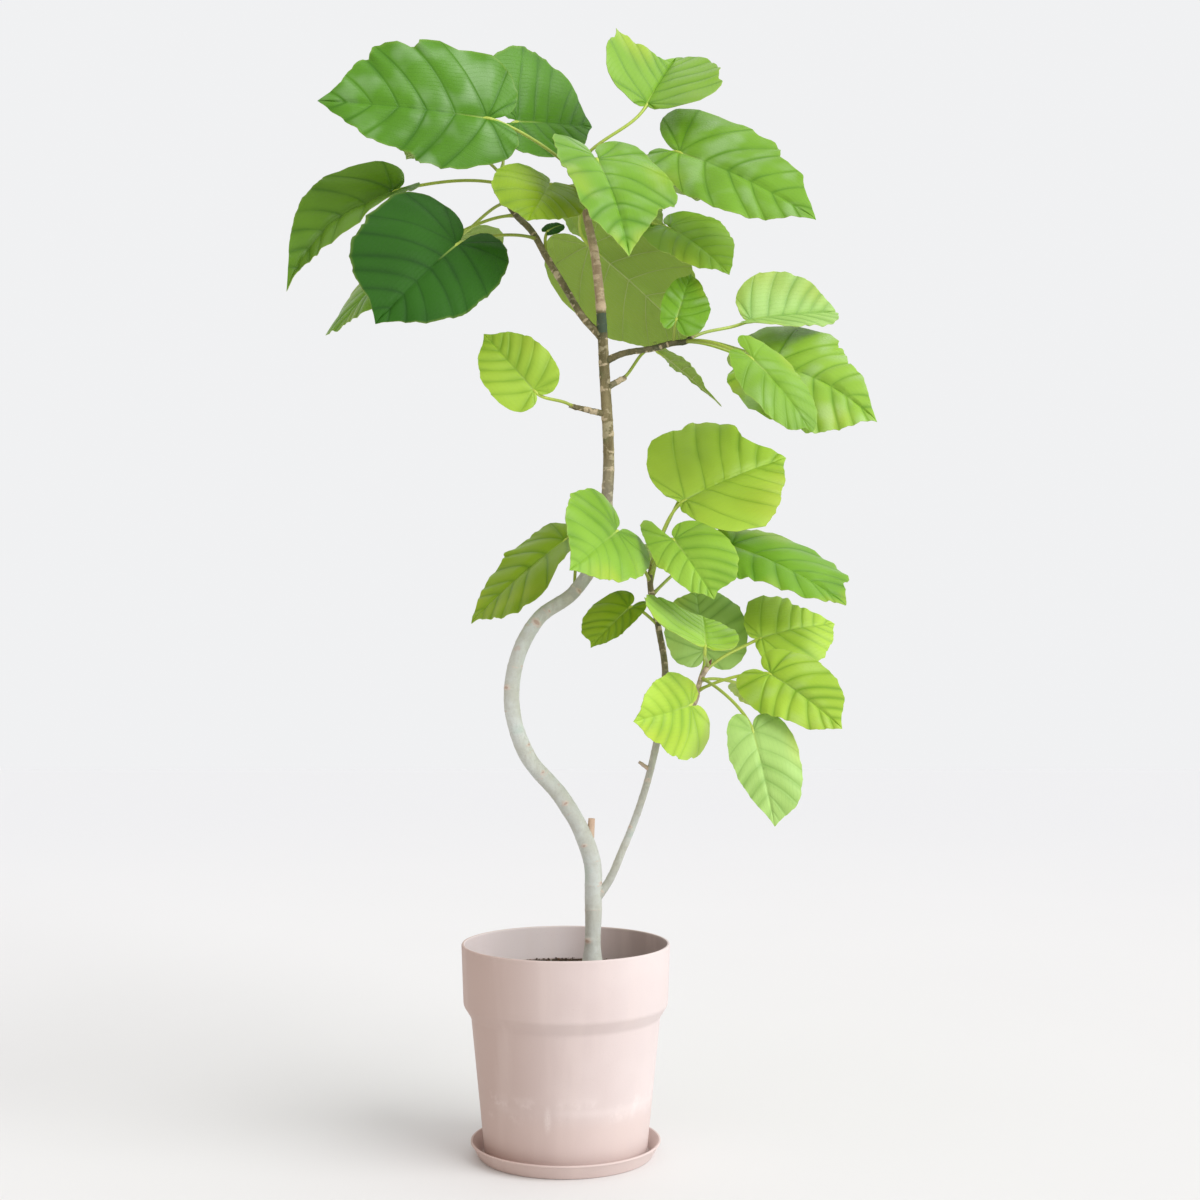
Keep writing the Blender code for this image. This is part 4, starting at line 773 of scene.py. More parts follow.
def new_piece(name, points, faces, materials, attributes=None, uv=None, slots=None, sharp=50.0):
    """A smooth mesh object with float attributes by point and an optional UV map by corner."""
    mesh = bpy.data.meshes.new(name)
    mesh.from_pydata(np.asarray(points).tolist(), [], faces)
    for one in materials:
        mesh.materials.append(one)
    for key, values in (attributes or {}).items():
        values = np.asarray(values, np.float32)
        if values.ndim == 1:
            mesh.attributes.new(key, "FLOAT", "POINT").data.foreach_set("value", values)
        else:
            mesh.attributes.new(key, "FLOAT_COLOR", "POINT").data.foreach_set("color", values.ravel())
    if uv is not None:
        mesh.uv_layers.new(name="OFBake").data.foreach_set("uv", np.asarray(uv, np.float32).ravel())
    if slots is not None:
        mesh.polygons.foreach_set("material_index", np.asarray(slots, np.int32))
    mesh.update()
    mesh.shade_smooth()
    mesh.set_sharp_from_angle(angle=math.radians(sharp))
    piece = bpy.data.objects.new(name, mesh)
    bpy.context.scene.collection.objects.link(piece)
    return piece


def place_piece(piece, slot, *nodes):
    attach(piece, "root")
    if nodes:
        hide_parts(*nodes)
    return piece


class Bundle:
    """Meshes that are joined into one piece."""

    def __init__(self):
        self.points = []
        self.faces = []
        self.uv = []
        self.slots = []
        self.attributes = {}
        self.count = 0

    def add(self, points, faces, attributes, uv=None, slots=None):
        base = self.count
        self.points.append(np.asarray(points))
        self.faces.extend([tuple(base + k for k in face) for face in faces])
        self.count += len(points)
        for key, values in attributes.items():
            self.attributes.setdefault(key, []).append(np.asarray(values))
        if uv is not None:
            self.uv.append(uv)
        self.slots.append(np.zeros(len(faces), int) if slots is None else slots)

    def piece(self, name, materials, sharp=50.0):
        attributes = {key: np.concatenate(parts) for key, parts in self.attributes.items()}
        uv = np.concatenate(self.uv) if self.uv else None
        slots = np.concatenate(self.slots)
        return new_piece(name, np.concatenate(self.points), self.faces, materials, attributes, uv, slots, sharp)


def row_values(per_gap):
    """Rows of a half: an even number of steps between each two veins."""
    edges = (0.0,) + VEIN_ROWS + (1.0,)
    spans = [np.linspace(a, b, per_gap, endpoint=False) for a, b in zip(edges, edges[1:])]
    return np.concatenate(spans + [[1.0]])


def flat_half(leaf, side, row, step):
    """Points on one half of a flat blade of length 1, and how far along the midrib each starts."""
    row = np.asarray(row, float)[:, None]
    step = np.asarray(step, float)[None, :]
    along = np.clip((row - FAN_SHARE) / (1 - FAN_SHARE), 0.0, 1.0)
    drift = 0.016 * np.sin(math.tau * (2.3 * row + leaf.phase + 0.37 * side + leaf.umbo[2] * 7))
    drift = drift + 0.009 * np.sin(math.tau * (5.1 * row + 2 * leaf.phase + 0.71 * side + leaf.umbo[0] * 31))
    row = row + drift * np.clip(8 * row * (1 - row), 0.0, 1.0)
    widest = 180.0 - leaf.sinus
    fan = widest + (FAN_END - widest) * row / FAN_SHARE
    beyond = np.clip((row - FAN_SHARE) / (1 - FAN_SHARE), 0.0, 1.0)
    degrees = np.where(row < FAN_SHARE, fan, FAN_END * (1 - beyond) ** 1.45)
    angles, reaches = zip(*MARGIN)
    reach = smooth_between(angles, reaches, degrees)
    reach = reach * (1 + (leaf.lobes - 1) * np.clip((degrees - 90) / 60, 0.0, 1.0))
    reach = reach * (1 + np.interp(row, *zip(*(leaf.plus if side > 0 else leaf.minus))))
    end_x = reach * np.sin(np.radians(degrees))
    end_y = reach * np.cos(np.radians(degrees))
    span_x = end_x
    span_y = end_y - along
    bow = VEIN_BOW * np.clip(row / FAN_SHARE * 2 - 1, -1.0, 1.0) * np.sin(math.pi * step)
    x = span_x * step + span_y * bow
    y = along + span_y * step - span_x * bow
    reach_x = max(r * math.sin(math.radians(a)) for a, r in MARGIN)
    x = x * leaf.width * (1 + side * leaf.skew) / (2 * reach_x)
    ends = np.sin(math.pi * np.clip(row * 1.04, 0, 1)) ** 0.5
    uneven = 0.013 * np.sin(math.tau * (6.3 * row + leaf.phase + 0.4 * side))
    uneven = uneven + 0.010 * np.sin(math.tau * (13.7 * row + 2 * leaf.phase + side))
    uneven = uneven + 0.006 * np.sin(math.tau * (29.1 * row + side))
    grow = 1 + leaf.ragged * uneven * ends * step**3
    ripple = np.sin(math.tau * (3.5 * row + leaf.phase + 0.31 * side))
    lift = leaf.wave * step**2 * ripple * ends
    return x * grow, along + (y - along) * grow, lift


def bend(leaf, side, x, y, lift):
    """Flat points of a half in their place on the leaf."""
    curl = math.radians(leaf.curl) * 2 / leaf.width
    bent = np.sin(curl * x) / curl if abs(curl) > 1e-4 else x
    drop = (1 - np.cos(curl * x)) / curl if abs(curl) > 1e-4 else 0 * x
    height = lift - drop
    rise = math.radians(leaf.fold)
    out = bent * math.cos(rise) - height * math.sin(rise)
    height = bent * math.sin(rise) + height * math.cos(rise)
    out = out * side + leaf.sway * np.sin(math.pi * y)
    turn = np.radians(leaf.twist) * y
    out, height = out * np.cos(turn) - height * np.sin(turn), out * np.sin(turn) + height * np.cos(turn)
    arch = math.radians(leaf.arch if abs(leaf.arch) > 0.1 else 0.1)
    forward = np.sin(arch * y) / arch + height * np.sin(arch * y)
    upward = -(1 - np.cos(arch * y)) / arch + height * np.cos(arch * y)
    chord = np.array([math.sin(arch) / arch, -(1 - math.cos(arch)) / arch])
    reach = float(np.linalg.norm(chord))
    chord = chord / reach
    near = forward * chord[0] + upward * chord[1]
    over = upward * chord[0] - forward * chord[1]
    umbo = np.array(leaf.umbo)
    line = np.array(leaf.tip) - umbo
    length = float(np.linalg.norm(line)) / reach
    ahead = unit(line)
    face = np.array(leaf.face, float)
    face = unit(face - ahead * np.dot(face, ahead))
    right = np.cross(ahead, face)
    grid = out[..., None] * right + near[..., None] * ahead + over[..., None] * face
    return umbo + length * grid, length


def blade_axes(leaf):
    """The way the midrib starts from the umbo, and the way the blade faces there."""
    ahead = unit(np.subtract(leaf.tip, leaf.umbo))
    face = np.array(leaf.face, float)
    face = unit(face - ahead * np.dot(face, ahead))
    half = math.radians(leaf.arch) / 2
    return ahead * math.cos(half) + face * math.sin(half), face * math.cos(half) - ahead * math.sin(half)


def gap_data(rows, veins, x, y):
    """For each point: distance to the nearest side vein, width of its gap, and place across the gap."""
    near = np.full(x.shape, 9.0)
    width = np.zeros(x.shape)
    share = np.zeros(x.shape)
    edges = [0] + veins + [len(rows) - 1]
    for a, b in zip(edges, edges[1:]):
        span = slice(a, b + 1)
        across = np.hypot(x[b] - x[a], y[b] - y[a])[None, :]
        width[span] = np.broadcast_to(across, width[span].shape)
        share[span] = ((rows[span] - rows[a]) / (rows[b] - rows[a]))[:, None]
        for edge in (a, b):
            if edge in veins:
                near[span] = np.minimum(near[span], np.hypot(x[span] - x[edge], y[span] - y[edge]))
    return near, width, share


def fine_blade(leaf, per_gap, steps, cell_top, cell_under):
    """A thin closed blade with quilted veins: points, faces, attributes, UVs and material slots."""
    rows = row_values(per_gap)
    veins = [int(np.argmin(np.abs(rows - v))) for v in VEIN_ROWS]
    step = np.linspace(0.0, 1.0, steps) ** 0.85
    count = len(rows)
    points = []
    flat = []
    attributes = {"rib_mm": [], "vein_mm": [], "run_mm": [], "across": [], "along": [], "far_mm": []}
    ids = {}
    faces = []
    fan = rows <= FAN_SHARE + 1e-9
    for side in (-1, 1):
        x, y, lift = flat_half(leaf, side, rows, step)
        near, width, share = gap_data(rows, veins, x, y)
        window = np.clip(step / 0.22, 0, 1)[None, :] * (1 - 0.45 * step[None, :] ** 4)
        quilt = np.abs(np.sin(math.pi * share)) ** 0.85 * np.minimum(width, 0.16) * 0.080 * leaf.quilt * window
        swell = 0.005 * np.sin(11 * x + 6 * y + math.tau * (leaf.phase + side * 0.2 + leaf.umbo[2] * 5))
        swell = swell + 0.004 * np.sin(7 * x - 13 * y + math.tau * (2 * leaf.phase + leaf.umbo[0] * 9))
        quilt = quilt + swell * window * np.clip(1.6 * (1 - y), 0, 1)
        edge_dip = np.where((rows < VEIN_ROWS[0])[:, None], 0.4, 1.0)
        groove = 0.012 * np.exp(-((x / 0.02) ** 2)) * np.clip(1.1 - y, 0, 1)
        frill = 0.006 * leaf.ragged * step[None, :] ** 5 * np.sin(math.tau * (12 * rows[:, None] + leaf.phase))
        lift = lift + quilt * edge_dip - groove + frill * np.sin(math.pi * rows)[:, None]
        grid, length = bend(leaf, side, x, y, lift)
        run = np.hypot(x, y - np.where(fan[:, None], 0.0, y[:, :1]))
        millimetres = length * 1000
        for i in range(count):
            for j in range(steps):
                if i == count - 1:
                    key = "tip"
                elif j == 0:
                    key = "umbo" if fan[i] else (i, "rib")
                else:
                    key = (i, j, side)
                if key in ids:
                    ids[i, j, side, "id"] = ids[key]
                    continue
                ids[key] = ids[i, j, side, "id"] = len(points)
                points.append(grid[i, j])
                flat.append((side * x[i, j], y[i, j]))
                far = math.hypot(x[i, j], y[i, j])
                attributes["rib_mm"].append((abs(x[i, j]) if y[i, j] > 0 else far) * millimetres)
                attributes["far_mm"].append(far * millimetres)
                attributes["vein_mm"].append(near[i, j] * millimetres)
                attributes["run_mm"].append(run[i, j] * millimetres)
                attributes["across"].append(step[j])
                attributes["along"].append(max(0.0, y[i, j]))
        for i in range(count - 1):
            for j in range(steps - 1):
                corners = [ids[a, b, side, "id"] for a, b in ((i, j), (i, j + 1), (i + 1, j + 1), (i + 1, j))]
                corners = list(dict.fromkeys(corners))
                if len(corners) > 2:
                    faces.append(tuple(corners[::-1] if side > 0 else corners))
    points = np.array(points)
    flat = np.array(flat)
    normals = np.zeros_like(points)
    for face in faces:
        one = np.cross(points[face[1]] - points[face[0]], points[face[2]] - points[face[0]])
        for k in face:
            normals[k] += one
    if np.dot(normals.sum(0), blade_axes(leaf)[1]) < 0:
        faces = [face[::-1] for face in faces]
        normals = -normals
    normals /= np.linalg.norm(normals, axis=1)[:, None] + 1e-12
    rib = np.array(attributes["rib_mm"]) / 1000
    ridge = 0.0011 * np.exp(-((rib / 0.0016) ** 2)) * np.clip(1.05 - np.array(attributes["along"]), 0, 1)
    vein = np.array(attributes["vein_mm"]) / 1000
    ridge = np.maximum(ridge, 0.0004 * np.exp(-((vein / 0.0009) ** 2)))
    under = points - normals * (SKIN + ridge)[:, None]
    total = len(points)
    edges = {}
    for face in faces:
        for a, b in zip(face, face[1:] + face[:1]):
            edges[a, b] = True
    rim = [(b, a, a + total, b + total) for a, b in edges if (b, a) not in edges]
    all_faces = faces + [tuple(k + total for k in face[::-1]) for face in faces] + rim
    slots = np.array([0] * len(faces) + [1] * (len(faces) + len(rim)))
    low, high = flat.min(0), flat.max(0)
    fitted = 0.04 + 0.92 * (flat - low) / (high - low)
    middle = fitted.mean(0)
    outer = middle + (fitted - middle) * 1.035
    uv = []
    for face in faces:
        uv.extend(cell_top[:2] + fitted[k] * cell_top[2] for k in face)
    for face in faces:
        uv.extend(cell_under[:2] + fitted[k] * cell_under[2] for k in face[::-1])
    for b, a, *_ in rim:
        uv.extend(cell_under[:2] + place * cell_under[2] for place in (outer[b], outer[a], fitted[a], fitted[b]))
    tint = np.tile(np.array(linear(TINTS[leaf.tint])), (2 * total, 1))
    doubled = {key: np.tile(values, 2) for key, values in attributes.items()}
    doubled["tint"] = tint
    doubled["relief"] = np.full(2 * total, leaf.quilt / PLAIN_QUILT)
    doubled["gloss_and_painted_gleam"] = np.full(2 * total, leaf.gloss_and_painted_gleam)
    return np.vstack([points, under]), all_faces, doubled, np.array(uv), slots


def cells_for(count):
    """Corner and size of each of count square cells in the unit square."""
    across = math.ceil(math.sqrt(count))
    return [np.array([k % across / across, k // across / across, 1 / across]) for k in range(count)]


def tube_mesh(line, diameters, sides):
    """Points and faces of a closed tube along line, its ends rounded by extra rings."""
    steps = np.gradient(line, axis=0)
    tangents = steps / np.linalg.norm(steps, axis=1)[:, None]
    across = np.cross(tangents[0], (0.0, 1.0, 0.2))
    turn = np.arange(sides) * math.tau / sides
    points = []
    for place, tangent, diameter in zip(line, tangents, diameters):
        across = unit(across - tangent * np.dot(across, tangent))
        other = np.cross(tangent, across)
        points.append(place + (np.cos(turn)[:, None] * across + np.sin(turn)[:, None] * other) * diameter / 2)
    faces = [tuple(range(sides))[::-1]]
    for low in range(0, (len(line) - 1) * sides, sides):
        for k in range(sides):
            after = (k + 1) % sides
            faces.append((low + k, low + after, low + sides + after, low + sides + k))
    last = (len(line) - 1) * sides
    faces.append(tuple(range(last, last + sides)))
    return np.concatenate(points), faces


def stalk_line(leaf, root, count):
    """Places along a leaf's stalk, from inside its limb to the blade's umbo."""
    umbo = np.array(leaf.umbo)
    ahead, face = blade_axes(leaf)
    gap = float(np.linalg.norm(umbo - root))
    first = unit(unit(umbo - root) + np.array([0.0, 0.0, leaf.rise])) * gap * 0.36
    last = unit(ahead * 0.9 + face * 0.35) * gap * 0.36
    t = np.linspace(0.0, 1.0, count)[:, None]
    line = (
        root * (1 - t) ** 3
        + (root + first) * 3 * t * (1 - t) ** 2
        + (umbo - last) * 3 * t * t * (1 - t)
        + umbo * t**3
    )
    back = np.clip((t - 0.9) / 0.1, 0, 1) ** 2
    line = line - face * (STALK_D * 0.5 + 0.0008) * back
    length = float(np.linalg.norm(np.subtract(leaf.tip, leaf.umbo)))
    sunk = []
    for share in (0.03, 0.07, 0.12):
        x, y, lift = np.zeros((1, 1)), np.full((1, 1), share), np.full((1, 1), -0.012)
        place, _ = bend(leaf, 1, x, y, lift)
        sunk.append(place[0, 0] - face * (0.0012 + SKIN))
    return np.vstack([line, sunk]), length


def fine_stalk(leaf, root):
    """A stalk swollen at both ends, that thins out along the midrib's underside."""
    line, _ = stalk_line(leaf, root, 30)
    t = np.linspace(0.0, 1.0, len(line))
    widths = STALK_D * (0.98 + 0.5 * np.exp(-((t / 0.05) ** 2)) + 0.22 * np.exp(-(((t - 0.9) / 0.06) ** 2)))
    widths[-3:] = STALK_D * np.array([0.78, 0.52, 0.16])
    points, faces = tube_mesh(line, widths, 12)
    along = np.repeat(t, 12)
    tint = np.tile(np.array(linear(TINTS[leaf.tint])), (len(points), 1))
    return points, faces, {"along": along, "tint": tint}


def waves(seed, count, low, high):
    """Seeded terms of a noise over a limb: turns, frequency, phase and weight."""
    random = np.random.default_rng(seed)
    return [
        (int(random.integers(0, 5)), random.uniform(low, high), random.uniform(0, math.tau), random.uniform(0.4, 1.0))
        for _ in range(count)
    ]


def wavy(terms, along, turn):
    """The noise of those terms at places along a limb and round it, within about 1."""
    total = sum(weight * np.cos(m * turn + f * along + p) for m, f, p, weight in terms)
    return total / sum(weight for *_, weight in terms) * 1.6


class Scar(NamedTuple):
    """A scar with a round spot where size isn't 0, and a ring round the limb if ring."""

    at: float
    turn: float
    tilt: float
    size: float
    ring: bool = True


def scars_on(length, spacing_low, spacing_high, seed):
    random = np.random.default_rng(seed)
    found = []
    at = 0.012
    while at < length - 0.004:
        size = random.uniform(0.6, 1.0) if random.random() < 0.55 else 0.0
        found.append(Scar(at, random.uniform(0, math.tau), random.uniform(-0.0012, 0.0012), size))
        share = at / length
        at += spacing_low + (spacing_high - spacing_low) * share + random.uniform(-0.3, 0.3) * spacing_high
    return found


def bark_limb(limb, start, end, sides, seed, youth, dark, wood, flare, ring, rough, foot, spacing, marks=()):
    """A limb's bark from start to end: points, faces and attributes."""
    step = 0.0016
    count = int((end - start) / step) + 2
    at = np.linspace(start, end, count)
    places, diameters = limb.read(at)
    tangents = limb.heading(at)
    turn = np.arange(sides) * math.tau / sides
    along, around = np.meshgrid(at, turn, indexing="ij")
    relief = 1 + rough * wavy(waves(seed, 14, 20, 160), along, around)
    relief += rough * 0.35 * wavy(waves(seed + 1, 18, 200, 700), along, around)
    radius = diameters[:, None] / 2 * relief
    age = np.interp(at, *youth)[:, None]
    scar = np.zeros_like(radius)
    for one in scars_on(limb.length, spacing[0], spacing[1], seed + 2) + [Scar(*mark) for mark in marks]:
        centre = one.at + one.tilt * np.cos(around - one.turn)
        band = np.exp(-(((along - centre) / 0.0012) ** 2))
        arc = np.clip(0.45 + 0.8 * np.cos(around - one.turn) + 0.35 * np.cos(3 * around + one.at * 900), 0, 1)
        if one.ring:
            radius += ring * band
            scar = np.maximum(scar, band * arc * (0.55 + 0.45 * age))
        if one.size:
            wide = 0.0045 * one.size
            gap = np.angle(np.exp(1j * (around - one.turn))) * diameters[:, None] / 2
            spot = np.exp(-(((along - one.at - 0.003) / (0.6 * wide)) ** 2 + (gap / wide) ** 2) ** 1.6)
            radius += 0.0007 * one.size * spot
            scar = np.maximum(scar, spot)
    if flare:
        radius *= 1 + flare * np.exp(-(along - start) / 0.007)
    if foot:
        ridges = 0.5 + 0.5 * np.cos(5 * around + 0.6)
        radius *= 1 + foot * ridges * np.exp(-(along - start) / 0.012)
    points = []
    across = np.cross(tangents[0], (0.0, 1.0, 0.2))
    for i, (place, tangent) in enumerate(zip(places, tangents)):
        across = unit(across - tangent * np.dot(across, tangent))
        other = np.cross(tangent, across)
        points.append(place + (np.cos(turn)[:, None] * across + np.sin(turn)[:, None] * other) * radius[i][:, None])
    faces = [tuple(range(sides))[::-1]]
    for low in range(0, (count - 1) * sides, sides):
        for k in range(sides):
            after = (k + 1) % sides
            faces.append((low + k, low + after, low + sides + after, low + sides + k))
    faces.append(tuple(range((count - 1) * sides, count * sides)))
    attributes = {
        "scar": scar.ravel(),
        "youth": np.repeat(age, sides),
        "dark": np.repeat(np.interp(at / limb.length, *dark), sides),
        "wood": np.repeat(np.interp(at / limb.length, *wood), sides),
    }
    return np.concatenate(points), faces, attributes


def bud_mesh(base, way, length, width, lean=(0, 0, 0)):
    """A slim pointed bud in its rolled sheath."""
    rings, sides = 26, 20
    t = np.linspace(0.0, 1.0, rings)
    line = np.array(base) + np.outer(t * length, unit(way)) + np.outer(t**2, np.array(lean))
    profile = np.sin(math.pi * np.clip(0.30 + 0.70 * t, 0, 1)) ** 0.8 * (1 - t) ** 0.25
    points, faces = tube_mesh(line, np.maximum(width * profile, 0.0003), sides)
    turn = np.tile(np.arange(sides) * math.tau / sides, rings)
    share = np.repeat(t, sides)
    centre = np.repeat(line, sides, axis=0)
    lap = (turn - 5.5 * share) % math.tau / math.tau
    points = centre + (points - centre) * (1 + 0.13 * (lap - 0.5) * (1 - share))[:, None]
    return points, faces, {"along": share}


def lathe(name, profile, materials, sides=160, wobble=0.0):
    """A turned piece. The profile (r, z) runs round its section; its ends meet the axis or each other."""
    turn = np.arange(sides) * math.tau / sides
    points, rings = [], []
    for r, z in profile:
        if r == 0:
            rings.append([len(points)] * sides)
            points.append((0.0, 0.0, z))
            continue
        rings.append(list(range(len(points), len(points) + sides)))
        out = r * (1 + wobble * np.cos(2 * turn + 0.7))
        points.extend(np.stack([out * np.cos(turn), out * np.sin(turn), np.full(sides, z)], axis=1).tolist())
    faces = []
    for low, high in zip(rings, rings[1:]):
        for k in range(sides):
            after = (k + 1) % sides
            corners = tuple(dict.fromkeys((low[k], low[after], high[after], high[k])))
            if len(corners) > 2:
                faces.append(corners)
    return new_piece(name, points, faces, materials, sharp=35.0)


def rounded(corners, radius, steps=5):
    """A profile whose corners are turned into arcs. A corner may give its own radius as a third value."""
    made = [tuple(corners[0][:2])]
    for before, corner, after in zip(corners, corners[1:], corners[2:]):
        here = np.array(corner[:2])
        size = corner[2] if len(corner) > 2 else radius
        one = np.array(before[:2]) - here
        two = np.array(after[:2]) - here
        cut = min(size, np.linalg.norm(one) * 0.45, np.linalg.norm(two) * 0.45)
        a = here + unit(one) * cut
        b = here + unit(two) * cut
        for t in np.linspace(0, 1, steps):
            made.append(tuple(a * (1 - t) ** 2 + here * 2 * t * (1 - t) + b * t * t))
    made.append(tuple(corners[-1][:2]))
    return made


def make_leaves(materials, stalks):
    upper, under = materials
    for name, (limb, leaves) in CROWNS.items():
        blades, rods = Bundle(), Bundle()
        cells = cells_for(2 * len(leaves))
        for k, leaf in enumerate(leaves.values()):
            points, faces, attributes, uv, slots = fine_blade(leaf, 7, 24, cells[2 * k], cells[2 * k + 1])
            blades.add(points, faces, attributes, uv, slots)
            root, _ = limb.read(leaf.at)
            rods.add(*fine_stalk(leaf, root))
        place_piece(blades.piece(name + "_leaves", [upper, under]), "foliage", name)
        place_piece(rods.piece(name + "_stalks", [stalks]), "foliage", name)
    for name, (limb, leaf) in LONE_LEAVES.items():
        cells = cells_for(2)
        blades, rods = Bundle(), Bundle()
        blades.add(*fine_blade(leaf, 7, 24, cells[0], cells[1]))
        root, _ = limb.read(leaf.at)
        if name in SPURS:
            spur = SPURS[name]
            root, _ = spur.read(spur.length - SPUR_OVERLAP)
        rods.add(*fine_stalk(leaf, root))
        place_piece(blades.piece(name + "_blade", [upper, under]), "foliage", name)
        place_piece(rods.piece(name + "_stalk", [stalks]), "foliage", name)


def make_bark(bark):
    trunk_age = ((0.0, 0.44, 0.56, 0.70, 1.0), (0.0, 0.0, 0.35, 1.0, 1.0))
    stem_age = ((0.0, 0.18, 0.26, 0.31, 0.42), (0.05, 0.20, 0.50, 0.95, 1.0))
    even = (0.0, 1.0)
    young, none = (even, (1.0, 1.0)), (even, (0.0, 0.0))
    trunk_dark = ((0.0, 0.60, 0.72, 0.79, 0.80, 0.823, 0.826, 1.0), (0.0, 0.0, 0.30, 0.35, 0.95, 0.95, 0.0, 0.0))
    trunk_wood = ((0.0, 0.824, 0.828, 1.0), (0.0, 0.0, 0.38, 0.25))
    stem_dark = ((0.0, 0.60, 0.72, 1.0), (0.0, 0.05, 0.7, 0.85))
    front = math.pi / 2
    knots = (
        (0.040, front - 0.7, 0.0, 1.5, False), (0.158, front - 0.3, 0.0, 1.0, False),
        (0.215, front + 0.1, 0.0, 1.2, False), (0.300, front + 0.9, 0.0, 0.9, False),
        (0.372, front - 0.7, 0.0, 1.3, False), (0.455, front + 0.2, 0.0, 1.9, False),
        (0.520, front + 0.6, 0.0, 1.2, False), (0.870, front + 0.2, 0.0, 2.0, False),
        (0.905, front - 0.4, 0.0, 1.1, False), (0.940, front + 0.5, 0.0, 1.2, False),
    )
    # name: limb, ends, sides, seed, age, dark, wood, flare, ring, rough, foot, spacing of scars, nodes, marks
    limbs = {
        "trunk_bark": (
            TRUNK, 0.0, TRUNK.length - 0.010, 48, 11, trunk_age, trunk_dark, trunk_wood, 0.0, 0.00035, 0.035, 0.30,
            (0.034, 0.011), ("trunk_foot", "trunk_lower_bow", "trunk_upper_bow", "trunk_middle", "trunk_upper"),
            knots,
        ),
        "right_stem_bark": (
            RIGHT_STEM, 0.003, RIGHT_STEM.length - 0.008, 32, 23, stem_age, stem_dark, none, 0.35, 0.0003, 0.04,
            0.0, (0.024, 0.010), ("right_stem",), (),
        ),
        "side_branch_bark": (
            SIDE_BRANCH, 0.002, SIDE_BRANCH.length - 0.010, 28, 37, (even, (0.7, 0.8)), none, (even, (0.35, 0.25)),
            0.25, 0.0003, 0.04, 0.0, (0.012, 0.008), ("side_branch",), (),
        ),
        "left_bough_bark": (
            LEFT_BOUGH, 0.002, LEFT_BOUGH.length - 0.010, 28, 41, young, (even, (0.45, 0.9)), none,
            0.25, 0.0003, 0.04, 0.0, (0.014, 0.009), ("left_bough",), ((0.095, front, 0.0, 1.0, False),),
        ),
        "right_bough_bark": (
            RIGHT_BOUGH, 0.002, RIGHT_BOUGH.length - 0.019, 28, 53, young, (even, (0.9, 0.8)), none,
            0.25, 0.0003, 0.04, 0.0, (0.012, 0.007), ("right_bough",), (),
        ),
        "pruned_stub_bark": (
            STUB, 0.0, STUB.length, 24, 61, (even, (0.1, 0.1)), none, (even, (0.7, 0.95)),
            0.2, 0.0002, 0.05, 0.0, (0.05, 0.05), ("pruned_stub",), (),
        ),
        "twig_spur_bark": (
            TWIG_SPUR, 0.0, TWIG_SPUR.length, 20, 67, (even, (0.4, 0.7)), none, (even, (0.7, 0.4)),
            0.3, 0.0003, 0.06, 0.0, (0.006, 0.006), ("twig_spur",), (),
        ),
    }
    for name, (limb, start, end, sides, seed, *looks, nodes, marks) in limbs.items():
        points, faces, attributes = bark_limb(limb, start, end, sides, seed, *looks, marks)
        place_piece(new_piece(name, points, faces, [bark], attributes), "bark", *nodes)
    for name, spur in SPURS.items():
        points, faces, attributes = bark_limb(
            spur, 0.0, spur.length, 24, 71, young, (even, (0.7, 0.5)), none, 0.25, 0.00055, 0.06, 0.0,
            (0.0045, 0.0032),
        )
        place_piece(new_piece(name + "_spur", points, faces, [bark], attributes), "bark", name)


def make_buds():
    buds = (
        ("crown_top_bud", TRUNK, 0.014, 0.0062, (98, 140, 52), (150, 180, 80)),
        ("crown_left_bud", LEFT_BOUGH, 0.014, 0.0056, (98, 140, 52), (150, 180, 80)),
        ("crown_right_bud", RIGHT_BOUGH, 0.022, 0.0060, (214, 204, 140), (204, 130, 66)),
        ("crown_right_stem_bud", RIGHT_STEM, 0.012, 0.0055, (112, 140, 60), (150, 160, 80)),
        ("crown_side_branch_bud", SIDE_BRANCH, 0.013, 0.0056, (120, 70, 50), (96, 44, 34)),
    )
    for name, limb, length, width, low, high in buds:
        base, _ = limb.read(limb.length - length)
        tip, _ = limb.read(limb.length)
        points, faces, attributes = bud_mesh(base, tip - base, float(np.linalg.norm(tip - base)), width)
        paint = bud_paint(name + "_skin", low, high)
        piece = new_piece(name, points, faces, [paint], attributes)
        place_piece(piece, "foliage", name[: -len("_bud")])


def make_pot(plastic):
    foot = 0.0033
    pot = rounded(
        [
            (0.0, foot), (0.0955, foot, 0.001), (0.0975, foot + 0.002, 0.002), (0.1133, 0.166, 0.003),
            (0.1225, 0.181, 0.003), (0.1250, 0.2518, 0.0008), (0.1241, 0.2530, 0.0006), (0.1220, 0.2530, 0.0008),
            (0.1213, 0.2518, 0.001), (0.1212, 0.2400, 0.001), (0.1195, 0.181, 0.003), (0.1103, 0.166, 0.003), (0.0945, 0.0073, 0.004),
            (0.0, 0.0073),
        ],
        0.001,
    )
    place_piece(lathe("pot_shell", pot, [plastic], wobble=0.0), "pot_plastic", "pot")
    saucer = rounded(
        [
            (0.0, 0.0), (0.1037, 0.0, 0.001), (0.1047, 0.001, 0.001), (0.1124, 0.0150, 0.001),
            (0.1139, 0.0158, 0.0008), (0.1139, 0.0180, 0.0008), (0.1114, 0.0180, 0.0008), (0.1007, 0.0040, 0.004),
            (0.0995, 0.0030, 0.002), (0.0, 0.0030),
        ],
        0.001,
    )
    place_piece(lathe("saucer_shell", saucer, [plastic]), "pot_plastic", "saucer")


